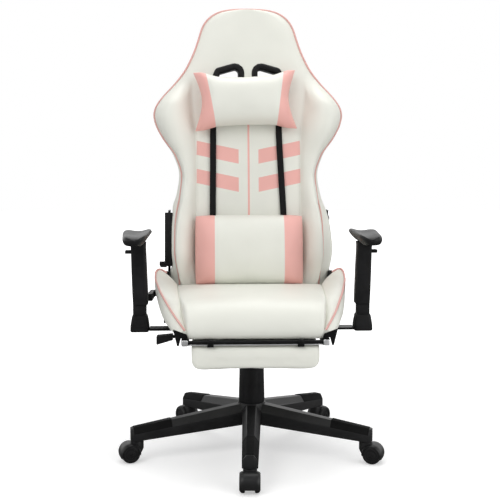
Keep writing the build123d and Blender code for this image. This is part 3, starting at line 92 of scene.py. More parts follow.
def shader_group(name, values, outputs):
    """An empty shader group that takes a vector and named values."""
    group = bpy.data.node_groups.new(name, "ShaderNodeTree")
    group.interface.new_socket("Vector", in_out="INPUT", socket_type="NodeSocketVector")
    for label, value in values.items():
        socket = group.interface.new_socket(label, in_out="INPUT", socket_type="NodeSocketFloat")
        socket.default_value = value
    for label in outputs:
        group.interface.new_socket(label, in_out="OUTPUT", socket_type="NodeSocketFloat")
    return group, group.nodes.new("NodeGroupInput"), group.nodes.new("NodeGroupOutput")


def feed(tree, socket, value):
    """Sets a socket to a plain value, or links it to another socket."""
    if isinstance(value, bpy.types.NodeSocket):
        tree.links.new(value, socket)
    else:
        socket.default_value = value


def math_node(tree, operation, *values, clamp=False):
    """A Math node fed by sockets or plain numbers; gives its output."""
    node = tree.nodes.new("ShaderNodeMath")
    node.operation = operation
    node.use_clamp = clamp
    for socket, value in zip(node.inputs, values):
        feed(tree, socket, value)
    return node.outputs[0]


def map_range(tree, value, from_min, from_max, to_min, to_max):
    """A value spread from one range to another; the ends are numbers or sockets."""
    node = tree.nodes.new("ShaderNodeMapRange")
    ends = {"Value": value, "From Min": from_min, "From Max": from_max, "To Min": to_min, "To Max": to_max}
    for label, end in ends.items():
        feed(tree, node.inputs[label], end)
    return node.outputs["Result"]


def noise_node(tree, vector, scale, detail, roughness=0.5):
    """A Noise texture on the given coordinates; gives its factor."""
    node = tree.nodes.new("ShaderNodeTexNoise")
    node.inputs["Detail"].default_value = detail
    node.inputs["Roughness"].default_value = roughness
    tree.links.new(vector, node.inputs["Vector"])
    feed(tree, node.inputs["Scale"], scale)
    return node.outputs["Fac"]


def make_leather_grain():
    """Pebbled grain of coated leather: rounded cells with fine pores, and slow creases."""
    group, given, made = shader_group("leather_grain", {"Cells": 700.0}, ["Height", "Wear"])
    cells = group.nodes.new("ShaderNodeTexVoronoi")
    cells.feature = "SMOOTH_F1"
    cells.inputs["Smoothness"].default_value = 0.35
    group.links.new(given.outputs["Vector"], cells.inputs["Vector"])
    group.links.new(given.outputs["Cells"], cells.inputs["Scale"])
    pores = noise_node(group, given.outputs["Vector"], 2200, 2)
    creases = noise_node(group, given.outputs["Vector"], 34, 4, 0.55)
    pebble = math_node(group, "MULTIPLY", cells.outputs["Distance"], -0.75)
    height = math_node(group, "ADD", pebble, math_node(group, "MULTIPLY", pores, 0.3))
    height = math_node(group, "ADD", height, math_node(group, "MULTIPLY", creases, 0.55))
    group.links.new(height, made.inputs["Height"])
    slow = noise_node(group, given.outputs["Vector"], 9, 3)
    group.links.new(slow, made.inputs["Wear"])
    return group


def make_moulded_grain():
    """Fine spark texture of moulded plastic and powder coat, with slow handling marks."""
    group, given, made = shader_group("moulded_grain", {"Fineness": 1400.0}, ["Height", "Marks"])
    fine = noise_node(group, given.outputs["Vector"], given.outputs["Fineness"], 3, 0.65)
    group.links.new(fine, made.inputs["Height"])
    slow = noise_node(group, given.outputs["Vector"], 22, 4, 0.6)
    group.links.new(slow, made.inputs["Marks"])
    return group


# Bands on the back, in metres
BAND_SIZES = {
    "Inner": 0.029, "Outer": 0.1515, "Slope": 0.208, "Depth": 0.041, "Upper": 0.850, "Lower": 0.7685,
    "Line": 0.0028,
}
LINE_ENDS = (0.60, 0.93)


def make_band_mask():
    """1 inside a slanted band: two chevrons on each side of the back and the line down its middle."""
    group, given, made = shader_group("back_bands", BAND_SIZES, ["Mask"])
    split = group.nodes.new("ShaderNodeSeparateXYZ")
    group.links.new(given.outputs["Vector"], split.inputs[0])
    across = math_node(group, "ABSOLUTE", split.outputs["X"])
    reach = math_node(group, "SUBTRACT", given.outputs["Outer"], across)
    drop = math_node(group, "MULTIPLY", reach, given.outputs["Slope"])
    level = math_node(group, "ADD", split.outputs["Z"], drop)
    beside = math_node(
        group, "MULTIPLY",
        math_node(group, "GREATER_THAN", across, given.outputs["Inner"]),
        math_node(group, "LESS_THAN", across, given.outputs["Outer"]),
    )
    bands = 0
    for label in ("Upper", "Lower"):
        below = math_node(group, "LESS_THAN", level, given.outputs[label])
        foot = math_node(group, "SUBTRACT", given.outputs[label], given.outputs["Depth"])
        above = math_node(group, "GREATER_THAN", level, foot)
        bands = math_node(group, "ADD", bands, math_node(group, "MULTIPLY", below, above))
    bands = math_node(group, "MULTIPLY", bands, beside)
    line = math_node(group, "LESS_THAN", across, given.outputs["Line"])
    low = math_node(group, "GREATER_THAN", split.outputs["Z"], LINE_ENDS[0])
    high = math_node(group, "LESS_THAN", split.outputs["Z"], LINE_ENDS[1])
    line = math_node(group, "MULTIPLY", line, math_node(group, "MULTIPLY", low, high))
    depth_limit = math_node(group, "MULTIPLY", split.outputs["Z"], 0.2035)
    front = math_node(group, "LESS_THAN", split.outputs["Y"], math_node(group, "ADD", depth_limit, 0.11))
    mask = math_node(group, "MULTIPLY", math_node(group, "ADD", bands, line, clamp=True), front)
    group.links.new(mask, made.inputs["Mask"])
    return group


def make_weave():
    """Plain weave of a flat strap: ribs across it, broken by the threads along it."""
    group, given, made = shader_group("strap_weave", {"Threads": 900.0}, ["Height", "Shade"])
    turns = []
    for direction in ("X", "Z"):
        wave = group.nodes.new("ShaderNodeTexWave")
        wave.wave_type = "BANDS"
        wave.bands_direction = direction
        wave.inputs["Distortion"].default_value = 0.4
        group.links.new(given.outputs["Vector"], wave.inputs["Vector"])
        group.links.new(given.outputs["Threads"], wave.inputs["Scale"])
        turns.append(wave.outputs["Fac"])
    woven = math_node(group, "MULTIPLY", turns[0], turns[1])
    group.links.new(woven, made.inputs["Height"])
    fuzz = noise_node(group, given.outputs["Vector"], 300, 3)
    group.links.new(fuzz, made.inputs["Shade"])
    return group


LEATHER_GRAIN = make_leather_grain()
MOULDED_GRAIN = make_moulded_grain()
BACK_BANDS = make_band_mask()
STRAP_WEAVE = make_weave()


def new_finish(name):
    """A material with its shader and Object coordinates."""
    material = bpy.data.materials.new(name)
    material.use_nodes = True
    tree = material.node_tree
    shader = tree.nodes["Principled BSDF"]
    place = tree.nodes.new("ShaderNodeTexCoord").outputs["Object"]
    return material, tree, shader, place


def use_group(tree, group, place, **values):
    """A placed shader group with its own values."""
    node = tree.nodes.new("ShaderNodeGroup")
    node.node_tree = group
    tree.links.new(place, node.inputs["Vector"])
    for label, value in values.items():
        node.inputs[label].default_value = value
    return node


def spread(tree, factor, low, high):
    """The middle of a noise factor, 0.3 to 0.7, spread between two values."""
    return map_range(tree, factor, 0.3, 0.7, low, high)


def tinted(tree, factor, low, high):
    """Two colours mixed by a factor."""
    node = tree.nodes.new("ShaderNodeMix")
    node.data_type = "RGBA"
    for label, value in (("A", low), ("B", high)):
        feed(tree, [s for s in node.inputs if s.name == label and s.type == "RGBA"][0], value)
    tree.links.new(factor, node.inputs["Factor"])
    return [s for s in node.outputs if s.type == "RGBA"][0]


def scaled(colour, share):
    """A colour made darker or lighter."""
    return tuple(channel * share for channel in colour[:3]) + (1,)


def bumped(tree, shader, height, strength, distance):
    """Relief from a height factor."""
    node = tree.nodes.new("ShaderNodeBump")
    node.inputs["Strength"].default_value = strength
    node.inputs["Distance"].default_value = distance
    tree.links.new(height, node.inputs["Height"])
    tree.links.new(node.outputs["Normal"], shader.inputs["Normal"])


def dress_shader(tree, shader, colour, roughness, gloss, metallic=0.0):
    """Feeds the main inputs of a finish."""
    inputs = {"Base Color": colour, "Roughness": roughness, "Specular IOR Level": gloss, "Metallic": metallic}
    for label, value in inputs.items():
        feed(tree, shader.inputs[label], value)


def leather(name, colour, cells=650.0, rough=(0.40, 0.52), banded=False, gloss=0.42):
    """Coated leather: grain relief, slow tone and gloss changes, and pink bands where asked."""
    material, tree, shader, place = new_finish(name)
    grain = use_group(tree, LEATHER_GRAIN, place, Cells=cells)
    tone = spread(tree, grain.outputs["Wear"], 0, 1)
    base = tinted(tree, tone, scaled(colour, 0.955), colour)
    if banded:
        bands = use_group(tree, BACK_BANDS, place)
        pink = tinted(tree, tone, scaled(PINK, 0.94), PINK)
        base = tinted(tree, bands.outputs["Mask"], base, pink)
    dress_shader(tree, shader, base, spread(tree, grain.outputs["Wear"], *rough), gloss)
    bumped(tree, shader, grain.outputs["Height"], 0.22, 0.0006)
    return material


def moulded(name, colour, rough, fineness=1400.0, relief=0.12, metallic=0.0, gloss=0.10):
    """Moulded plastic, rubber or coated metal: spark grain, and gloss that changes with handling."""
    material, tree, shader, place = new_finish(name)
    grain = use_group(tree, MOULDED_GRAIN, place, Fineness=fineness)
    tone = spread(tree, grain.outputs["Marks"], 0, 1)
    base = tinted(tree, tone, scaled(colour, 0.8), scaled(colour, 1.25))
    dress_shader(tree, shader, base, spread(tree, grain.outputs["Marks"], *rough), gloss, metallic)
    bumped(tree, shader, grain.outputs["Height"], relief, 0.0003)
    return material


def woven(name, colour):
    """Flat woven strap."""
    material, tree, shader, place = new_finish(name)
    weave = use_group(tree, STRAP_WEAVE, place)
    base = tinted(tree, weave.outputs["Shade"], scaled(colour, 0.6), scaled(colour, 1.8))
    dress_shader(tree, shader, base, spread(tree, weave.outputs["Shade"], 0.7, 0.9), 0.15)
    bumped(tree, shader, weave.outputs["Height"], 0.4, 0.0005)
    return material


FINISH = {
    "white_leather": leather("white_leather", CREAM),
    "banded_leather": leather("white_leather_banded", CREAM, banded=True),
    "pink_leather": leather("pink_leather", PINK),
    "piping": leather("pink_piping", PIPING_PINK, cells=900.0, rough=(0.45, 0.6)),
    "thread": moulded("cream_thread", (0.70, 0.70, 0.64, 1), rough=(0.55, 0.7)),
    "black_nylon": moulded("black_nylon", (0.012, 0.012, 0.0125, 1), rough=(0.32, 0.45), relief=0.2,
                           gloss=0.36),
    "caster_wheel": moulded("caster_tread", (0.013, 0.013, 0.0135, 1), rough=(0.4, 0.55), gloss=0.16),
    "grip_rubber": moulded("grip_rubber", (0.006, 0.006, 0.006, 1), rough=(0.62, 0.8), relief=0.3),
    "black_plastic": moulded("black_plastic", SOFT_BLACK, rough=(0.34, 0.48)),
    "arm_foam": leather("arm_foam", (0.010, 0.010, 0.0105, 1), cells=520.0, rough=(0.34, 0.46), gloss=0.20),
    "black_steel": moulded("black_powder_coat", BLACK, rough=(0.3, 0.45), fineness=900.0, relief=0.15),
    "bright_steel": moulded("bright_steel", (0.66, 0.66, 0.67, 1), rough=(0.26, 0.4), relief=0.05,
                            metallic=0.7, gloss=0.5),
    "black_webbing": woven("black_webbing", (0.008, 0.008, 0.0085, 1)),
}


# Mesh helpers

def add_piece(name, mesh, finish, body, slot, *nodes):
    """Puts a finished mesh in the scene on its body; it stands for the named CAD nodes."""
    piece = new_object(name, mesh)
    if finish is not None:
        mesh.materials.append(FINISH[finish])
    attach(piece, body)
    if nodes:
        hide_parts(*nodes)
    return piece


def solid_mesh(name, points, faces, smooth_angle=180):
    """A closed mesh from millimetre points, merged, with faces outwards and smooth shading."""
    mesh = bpy.data.meshes.new(name)
    mesh.from_pydata([(x * MM, y * MM, z * MM) for x, y, z in points], [], faces)
    tidy_mesh(mesh, smooth_angle)
    return mesh


def tidy_mesh(mesh, smooth_angle):
    """Merges doubles, turns faces outwards and shades smooth up to an angle."""
    work = bmesh.new()
    work.from_mesh(mesh)
    bmesh.ops.remove_doubles(work, verts=work.verts, dist=2e-6)
    bmesh.ops.recalc_face_normals(work, faces=work.faces)
    limit = math.radians(smooth_angle)
    for face in work.faces:
        face.smooth = True
    for edge in work.edges:
        edge.smooth = len(edge.link_faces) != 2 or edge.calc_face_angle(0) < limit
    work.to_mesh(mesh)
    work.free()


def joined(meshes, name):
    """Several meshes as one."""
    work = bmesh.new()
    for mesh in meshes:
        work.from_mesh(mesh)
    made = bpy.data.meshes.new(name)
    work.to_mesh(made)
    work.free()
    return made


def through(table, column, at):
    """Smooth value of a station table's column at a place: a cubic that doesn't overshoot."""
    rows = sorted(table)
    x = np.array([row[0] for row in rows], float)
    y = np.array([row[column] for row in rows], float)
    step = np.diff(x)
    rise = np.diff(y) / step
    slope = np.zeros(len(x))
    for i in range(1, len(x) - 1):
        if rise[i - 1] * rise[i] > 0:
            before = 2 * step[i] + step[i - 1]
            after = step[i] + 2 * step[i - 1]
            slope[i] = (before + after) / (before / rise[i - 1] + after / rise[i])
    slope[0] = rise[0]
    slope[-1] = rise[-1]
    place = np.clip(np.asarray(at, float), x[0], x[-1])
    i = np.clip(np.searchsorted(x, place, side="right") - 1, 0, len(step) - 1)
    t = (place - x[i]) / step[i]
    return ((1 + 2 * t) * (1 - t) ** 2 * y[i] + t * (1 - t) ** 2 * step[i] * slope[i]
            + t * t * (3 - 2 * t) * y[i + 1] + t * t * (t - 1) * step[i] * slope[i + 1])


def curve_points(corners, count):
    """Evenly spaced points on a smooth curve through the given corners."""
    corners = np.array(corners, float)
    ends = np.vstack([2 * corners[0] - corners[1], corners, 2 * corners[-1] - corners[-2]])
    fine = []
    for i in range(1, len(ends) - 2):
        t = np.linspace(0, 1, 24, endpoint=False)[:, None]
        a, b, c, d = ends[i - 1:i + 3]
        fine.append(0.5 * (2 * b + (c - a) * t + (2 * a - 5 * b + 4 * c - d) * t ** 2
                           + (3 * b - a - 3 * c + d) * t ** 3))
    fine = np.vstack(fine + [corners[-1:]])
    run = np.concatenate([[0], np.cumsum(np.linalg.norm(np.diff(fine, axis=0), axis=1))])
    goal = np.linspace(0, run[-1], count)
    return np.column_stack([np.interp(goal, run, fine[:, axis]) for axis in range(fine.shape[1])])


def grid_faces(rows, columns, start=0, closed=False):
    """Quads over a grid of points stored row by row; closed joins the last column to the first."""
    faces = []
    for r in range(rows - 1):
        for c in range(columns if closed else columns - 1):
            n = (c + 1) % columns
            a = start + r * columns
            b = a + columns
            faces.append((a + c, a + n, b + n, b + c))
    return faces


def swept(name, rings, smooth_angle, closed=False):
    """A solid through rings of points: its ends are capped, or its last ring joins its first."""
    rings = np.array(rings, float)
    rows, columns = rings.shape[:2]
    count = rows * columns
    if closed:
        faces = [tuple(i % count for i in face) for face in grid_faces(rows + 1, columns, closed=True)]
    else:
        faces = grid_faces(rows, columns, closed=True)
        faces += [tuple(range(columns)), tuple(range(count - columns, count))]
    return solid_mesh(name, rings.reshape(-1, 3), faces, smooth_angle)


def tube_mesh(name, path, radius, sides=10):
    """A round bead along a path of millimetre points, with closed ends."""
    path = np.array(path, float)
    tangent = np.gradient(path, axis=0)
    tangent /= np.linalg.norm(tangent, axis=1)[:, None]
    normal = np.cross(tangent[0], (0.31, 0.17, 0.93))
    points = []
    for centre, along in zip(path, tangent):
        normal = normal - along * (normal @ along)
        normal /= np.linalg.norm(normal)
        other = np.cross(along, normal)
        for step in range(sides):
            angle = 2 * math.pi * step / sides
            points.append(centre + radius * (math.cos(angle) * normal + math.sin(angle) * other))
    faces = grid_faces(len(path), sides, closed=True)
    for ring, tip in ((0, path[0] - tangent[0] * radius * 0.5),
                      (len(path) - 1, path[-1] + tangent[-1] * radius * 0.5)):
        points.append(tip)
        first = ring * sides
        faces += [(first + s, first + (s + 1) % sides, len(points) - 1) for s in range(sides)]
    return solid_mesh(name, points, faces)


CLOTH_FRAMES = 20


def inflated(mesh, sewn, pressure, cap):
    """Fills a closed cover with foam: cloth under pressure, held at its sewn points, moved at most cap."""
    piece = new_object("cover_being_filled", mesh)
    seam = piece.vertex_groups.new(name="sewn")
    seam.add([int(i) for i in np.flatnonzero(sewn)], 1.0, "REPLACE")
    cloth = piece.modifiers.new("fill", "CLOTH")
    cover = cloth.settings
    cover.quality = 4
    cover.mass = 0.35
    cover.tension_stiffness = 18
    cover.compression_stiffness = 18
    cover.shear_stiffness = 8
    cover.bending_stiffness = 0.8
    cover.use_pressure = True
    cover.uniform_pressure_force = pressure
    cover.vertex_group_mass = "sewn"
    cover.effector_weights.gravity = 0
    cloth.collision_settings.use_collision = False
    cloth.point_cache.frame_start = 1
    cloth.point_cache.frame_end = CLOTH_FRAMES
    for step in range(1, CLOTH_FRAMES + 1):
        scene.frame_set(step)
    filled = piece.evaluated_get(bpy.context.evaluated_depsgraph_get())
    rest = read_points(mesh)
    move = read_points(filled.data) - rest
    length = np.linalg.norm(move, axis=1)[:, None]
    limit = cap * MM
    move *= limit * np.tanh(length / limit) / np.maximum(length, 1e-9)
    bpy.data.objects.remove(piece)
    write_points(mesh, rest + move)
    scene.frame_set(1)


def read_points(mesh):
    """Vertex places of a mesh as an array."""
    flat = np.zeros(len(mesh.vertices) * 3)
    mesh.vertices.foreach_get("co", flat)
    return flat.reshape(-1, 3)


def write_points(mesh, points):
    """Sets the vertex places of a mesh."""
    mesh.vertices.foreach_set("co", points.astype(np.float32).ravel())
    mesh.update()


def refined(mesh, name):
    """One level of smooth subdivision, applied."""
    piece = new_object(name, mesh)
    smooth = piece.modifiers.new("smooth", "SUBSURF")
    smooth.levels = smooth.render_levels = 1
    made = baked(piece, name)
    bpy.data.objects.remove(piece)
    return made


def baked(piece, name):
    """The mesh of an object with its modifiers applied."""
    graph = bpy.context.evaluated_depsgraph_get()
    made = bpy.data.meshes.new_from_object(piece.evaluated_get(graph), depsgraph=graph)
    made.name = name
    return made


# Stitches, ribs and other small things in a row

def make_row_tree():
    """Places a small bead at an even step along each line, turned along it."""
    tree = bpy.data.node_groups.new("row_of_beads", "GeometryNodeTree")
    tree.interface.new_socket("Lines", in_out="INPUT", socket_type="NodeSocketGeometry")
    for label, value in (("Step", 0.006), ("Length", 0.004), ("Width", 0.0007), ("Height", 0.0005)):
        tree.interface.new_socket(label, in_out="INPUT", socket_type="NodeSocketFloat").default_value = value
    tree.interface.new_socket("Finish", in_out="INPUT", socket_type="NodeSocketMaterial")
    tree.interface.new_socket("Row", in_out="OUTPUT", socket_type="NodeSocketGeometry")
    nodes, links = tree.nodes, tree.links
    given = nodes.new("NodeGroupInput")
    made = nodes.new("NodeGroupOutput")
    lines = nodes.new("GeometryNodeMeshToCurve")
    links.new(given.outputs["Lines"], lines.inputs["Mesh"])
    even = nodes.new("GeometryNodeResampleCurve")
    even.mode = "LENGTH"
    links.new(lines.outputs["Curve"], even.inputs["Curve"])
    links.new(given.outputs["Step"], even.inputs["Length"])
    along = nodes.new("GeometryNodeInputTangent")
    turn = nodes.new("FunctionNodeAlignEulerToVector")
    turn.axis = "X"
    links.new(along.outputs["Tangent"], turn.inputs["Vector"])
    bead = nodes.new("GeometryNodeMeshUVSphere")
    bead.inputs["Segments"].default_value = 8
    bead.inputs["Rings"].default_value = 5
    bead.inputs["Radius"].default_value = 0.5
    size = nodes.new("ShaderNodeCombineXYZ")
    for label, axis in (("Length", "X"), ("Width", "Y"), ("Height", "Z")):
        links.new(given.outputs[label], size.inputs[axis])
    shape = nodes.new("GeometryNodeTransform")
    links.new(bead.outputs["Mesh"], shape.inputs["Geometry"])
    links.new(size.outputs["Vector"], shape.inputs["Scale"])
    place = nodes.new("GeometryNodeInstanceOnPoints")
    links.new(even.outputs["Curve"], place.inputs["Points"])
    links.new(shape.outputs["Geometry"], place.inputs["Instance"])
    links.new(turn.outputs["Rotation"], place.inputs["Rotation"])
    real = nodes.new("GeometryNodeRealizeInstances")
    links.new(place.outputs["Instances"], real.inputs["Geometry"])
    dress = nodes.new("GeometryNodeSetMaterial")
    links.new(real.outputs["Geometry"], dress.inputs["Geometry"])
    links.new(given.outputs["Finish"], dress.inputs["Material"])
    links.new(dress.outputs["Geometry"], made.inputs["Row"])
    return tree


ROW_TREE = make_row_tree()


def bead_row(name, lines, body, slot, finish, step, length, width, height):
    """A row of stitches or ribs along millimetre lines, as one plain mesh on a body."""
    points, edges = [], []
    for line in lines:
        first = len(points)
        points += [tuple(np.array(point) * MM) for point in line]
        edges += [(first + i, first + i + 1) for i in range(len(line) - 1)]
    mesh = bpy.data.meshes.new(name + "_lines")
    mesh.from_pydata(points, edges, [])
    guide = new_object(name + "_lines", mesh)
    row = guide.modifiers.new("row", "NODES")
    row.node_group = ROW_TREE
    values = {"Step": step * MM, "Length": length * MM, "Width": width * MM, "Height": height * MM,
              "Finish": FINISH[finish]}
    for item in ROW_TREE.interface.items_tree:
        if item.in_out == "INPUT" and item.name in values:
            row[item.identifier] = values[item.name]
    made = baked(guide, name)
    bpy.data.objects.remove(guide)
    for face in made.polygons:
        face.use_smooth = True
    return add_piece(name, made, None, body, slot)


def dressed(node, body, slot, edge):
    """A copy of a CAD node with its edges rounded, which stands for that node."""
    mesh = frame["nodes"][node].data.copy()
    mesh.materials.clear()
    work = bmesh.new()
    work.from_mesh(mesh)
    bmesh.ops.remove_doubles(work, verts=work.verts, dist=2e-6)
    bmesh.ops.dissolve_limit(work, angle_limit=math.radians(1), verts=work.verts, edges=work.edges)
    for face in work.faces:
        face.smooth = True
    work.to_mesh(mesh)
    work.free()
    piece = new_object(node + "_rough", mesh)
    rounding = piece.modifiers.new("rounding", "BEVEL")
    rounding.width = edge * MM
    rounding.segments = 2
    rounding.limit_method = "ANGLE"
    rounding.angle_limit = math.radians(32)
    rounding.use_clamp_overlap = True
    rounding.harden_normals = True
    made = baked(piece, node + "_rounded")
    bpy.data.objects.remove(piece)
    return add_piece(node + "_rounded", made, slot, body, slot, node)


# Padded covers

def box_shell(name, rings, n, g):
    """Closed cover from rings of 2(n+g) points: face, side, face back, side; both ends are filled."""
    rings = np.array(rings, float)
    rows, columns = rings.shape[:2]
    points = [tuple(point) for point in rings.reshape(-1, 3)]
    faces = grid_faces(rows, columns, closed=True)
    for ring in (0, rows - 1):
        def at(i, j):
            """Index of a point of the end: i along the face, j from face to face back."""
            if j == 0:
                return ring * columns + i
            if j == g:
                return ring * columns + 2 * n + g - i
            if i == n:
                return ring * columns + n + j
            return ring * columns + (2 * n + 2 * g - j) % columns
        inner = {}
        for i in range(1, n):
            for j in range(1, g):
                share = j / g
                along = i / n
                ends = [np.array(points[at(a, b)]) for a, b in
                        ((i, 0), (i, g), (0, j), (n, j), (0, 0), (n, 0), (0, g), (n, g))]
                point = ((1 - share) * ends[0] + share * ends[1] + (1 - along) * ends[2] + along * ends[3]
                         - (1 - share) * ((1 - along) * ends[4] + along * ends[5])
                         - share * ((1 - along) * ends[6] + along * ends[7]))
                inner[i, j] = len(points)
                points.append(tuple(point))
        for i in range(n):
            for j in range(g):
                corner = [(i, j), (i + 1, j), (i + 1, j + 1), (i, j + 1)]
                faces.append(tuple(inner[c] if c in inner else at(*c) for c in corner))
    return solid_mesh(name, points, faces)


def ripple(points, scale, size, seed):
    """Slow uneven swelling over a cover, so that no panel is a perfect surface."""
    shift = Vector((seed * 3.1, seed * 1.7, seed * 0.9))
    return np.array([noise.noise(Vector(p) * scale + shift) for p in points]) * size * MM


def gathers(points, *scale):
    """Noise from -1 to 1 for the gathers beside a seam, finer for a larger scale."""
    return np.array([noise.noise(Vector(point)) for point in points * scale])


def pushed(mesh, amount):
    """Moves each point along its normal by its own amount."""
    normals = np.zeros(len(mesh.vertices) * 3)
    mesh.vertex_normals.foreach_get("vector", normals)
    write_points(mesh, read_points(mesh) + normals.reshape(-1, 3) * np.asarray(amount)[:, None])


def nearest(points, goals, reach):
    """Share from 1 at the goals to 0 at a reach in millimetres."""
    goals = np.array(goals, float) * MM
    best = np.full(len(points), 1e9)
    for start in range(0, len(goals), 200):
        gap = np.linalg.norm(points[:, None] - goals[None, start:start + 200], axis=2).min(1)
        best = np.minimum(best, gap)
    return np.clip(1 - best / (reach * MM), 0, 1)


def back_front(z):
    """Y of the back's front panel at a height."""
    return BACK_FOOT_Y + (z - BACK_BOTTOM) * math.tan(LEAN)


# Back stations: height, half width, half panel, bolster rise, thickness, piping inset
BACK_STATIONS = [
    (426, 224, 140, 5, 55, 24), (458, 233, 146, 18, 66, 31), (490, 243, 151, 33, 80, 35),
    (530, 249, 152, 42, 86, 35), (600, 244, 152, 42, 88, 31), (640, 234, 152, 38, 88, 25),
    (690, 214, 152, 33, 88, 15), (750, 206, 152, 24, 88, 12), (805, 221, 152, 28, 88, 10),
    (860, 256, 155, 42, 88, 6), (900, 273, 160, 50, 87, 3), (922, 276, 163, 51, 86, 1),
    (945, 271, 166, 49, 84, 0), (968, 257, 168, 44, 82, 0), (1020, 211, 163, 25, 78, 0),
    (1058, 183, 146, 17, 76, 0), (1089, 167, 128, 12, 73, 0), (1120, 154, 116, 10, 71, 0),
    (1150, 144, 107, 9, 68, 0), (1179, 135, 98, 8, 64, 0), (1192, 129, 92, 7, 61, 0),
    (1205, 120, 84, 6, 57, 0), (1217, 107, 72, 5, 51, 0), (1226, 92, 60, 4, 45, 0),
    (1231.5, 77, 48, 3, 39, 0), (1235, 60, 37, 2, 34, 0), (1237.2, 40, 25, 1, 29, 0),
    (1238.2, 15, 9, 0.5, 24, 0),
]
HEAD_ROWS = [1182, 1189, 1196, 1202.5, 1208.5, 1214, 1219, 1223.5, 1227.4, 1230.7, 1233.4, 1235.5, 1237,
             1237.8, 1238.2]
BACK_ROWS = np.concatenate([np.linspace(426, 1175, 106), HEAD_ROWS])
PIPING_R = 2.8
HEAD_BLEND = (955, 1045)            # heights where the seams of the centre panel run out
PANEL_STEPS = 44
BOLSTER_STEPS = 14
PANEL_SINK = 1.5                    # of the panel's seams behind the front plane
REAR_INSET = 30                     # of the flat rear from the widest point
# Crest of a bolster: share of its width, share of its rise
BOLSTER_CREST = [(0.16, 0.45), (0.42, 0.93), (0.66, 0.97)]
BACK_N = PANEL_STEPS + 2 * BOLSTER_STEPS
BACK_G = 8
HOLE_CORNERS = [(12.5, 985), (126, 985), (94, 1061), (12.5, 1084)]
HOLE_ROUNDS = np.array([12, 12, 15, 26])
HOLE_DEPTH = (180, 480)             # y of the two ends of a cut through the cover
# Section of a strap hole's trim: distance in from the hole's edge, distance out from the cover
TRIM_SECTION = [(-2, -1), (-1.5, 3), (2, 6.5), (8, 8), (13, 6.5), (16, 2)]


def ramp(value, start, end):
    """0 before a start, 1 after an end, and a straight rise between."""
    return min(1.0, max(0.0, (value - start) / (end - start)))


def back_section(z):
    """Outline of the back at a height: front from side to side, side, rear, side."""
    half, panel, rise, thick, inset = (float(through(BACK_STATIONS, c, z)) for c in range(1, 6))
    wide = half - panel
    edge = half - inset
    lip = 10 + 4 * ramp(z, 860, 920)
    crest = [(panel + along * wide, -up * rise) for along, up in BOLSTER_CREST]
    outer = [(edge - 0.10 * wide, -0.55 * rise), (edge, lip)]
    bolster = curve_points([(panel, PANEL_SINK)] + crest + outer, BOLSTER_STEPS + 1)
    x = np.linspace(-panel, panel, PANEL_STEPS + 1)
    centre = np.column_stack([x, PANEL_SINK - 5.5 * (1 - np.abs(x / panel) ** 3)])
    side = curve_points([(edge, lip), (half - 0.15 * inset, lip + 9), (half - 4, 0.45 * thick),
                         (half - 16, 0.8 * thick), (half - REAR_INSET, thick)], BACK_G + 1)
    rear_x = np.linspace(half - REAR_INSET, REAR_INSET - half, BACK_N + 1)
    rear = np.column_stack([rear_x, thick + 3 * (1 - (rear_x / (half - REAR_INSET)) ** 2)])
    flip = np.array([-1, 1])
    front = np.vstack([bolster[::-1] * flip, centre[1:-1], bolster])
    # over the head the front is one dome with no seams
    dome = lip * np.abs(front[:, 0] / edge) ** 5 - 6 * (1 - (front[:, 0] / edge) ** 2)
    share = ramp(z, *HEAD_BLEND)
    share = share * share * (3 - 2 * share)
    front[:, 1] = (1 - share) * front[:, 1] + share * dome
    loop = np.vstack([front, side[1:-1], rear, side[1:-1][::-1] * flip])
    # the cover strip on the sitter's right presses the side in
    press = ramp(z, 462, 488) * ramp(-z, -668, -652)
    over = np.minimum(loop[:, 0] + np.where(loop[:, 1] > 15, 221, 227), 0) * (loop[:, 1] > 6)
    loop[:, 0] -= press * over
    return np.column_stack([loop[:, 0], back_front(z) + loop[:, 1], np.full(len(loop), z)])


def rectangle(left, right, low, high):
    """Corners of a rectangle, once round."""
    return [(left, low), (right, low), (right, high), (left, high)]


def rounded_outline(corners, rounds, steps=6):
    """Closed outline with its corners rounded by arcs, of one radius or of one each."""
    corners = np.array(corners, float)
    outline = []
    for i, (corner, radius) in enumerate(zip(corners, np.broadcast_to(rounds, len(corners)))):
        before = corners[i - 1] - corner
        after = corners[(i + 1) % len(corners)] - corner
        before /= np.linalg.norm(before)
        after /= np.linalg.norm(after)
        half = math.acos(max(-1, min(1, before @ after))) / 2
        run = radius / math.tan(half)
        start = corner + before * run
        end = corner + after * run
        middle = (before + after) / np.linalg.norm(before + after)
        centre = corner + middle * radius / math.sin(half)
        for share in np.linspace(0, 1, steps):
            spoke = (start - centre) * (1 - share) + (end - centre) * share
            outline.append(centre + spoke / np.linalg.norm(spoke) * radius)
    return np.array(outline)


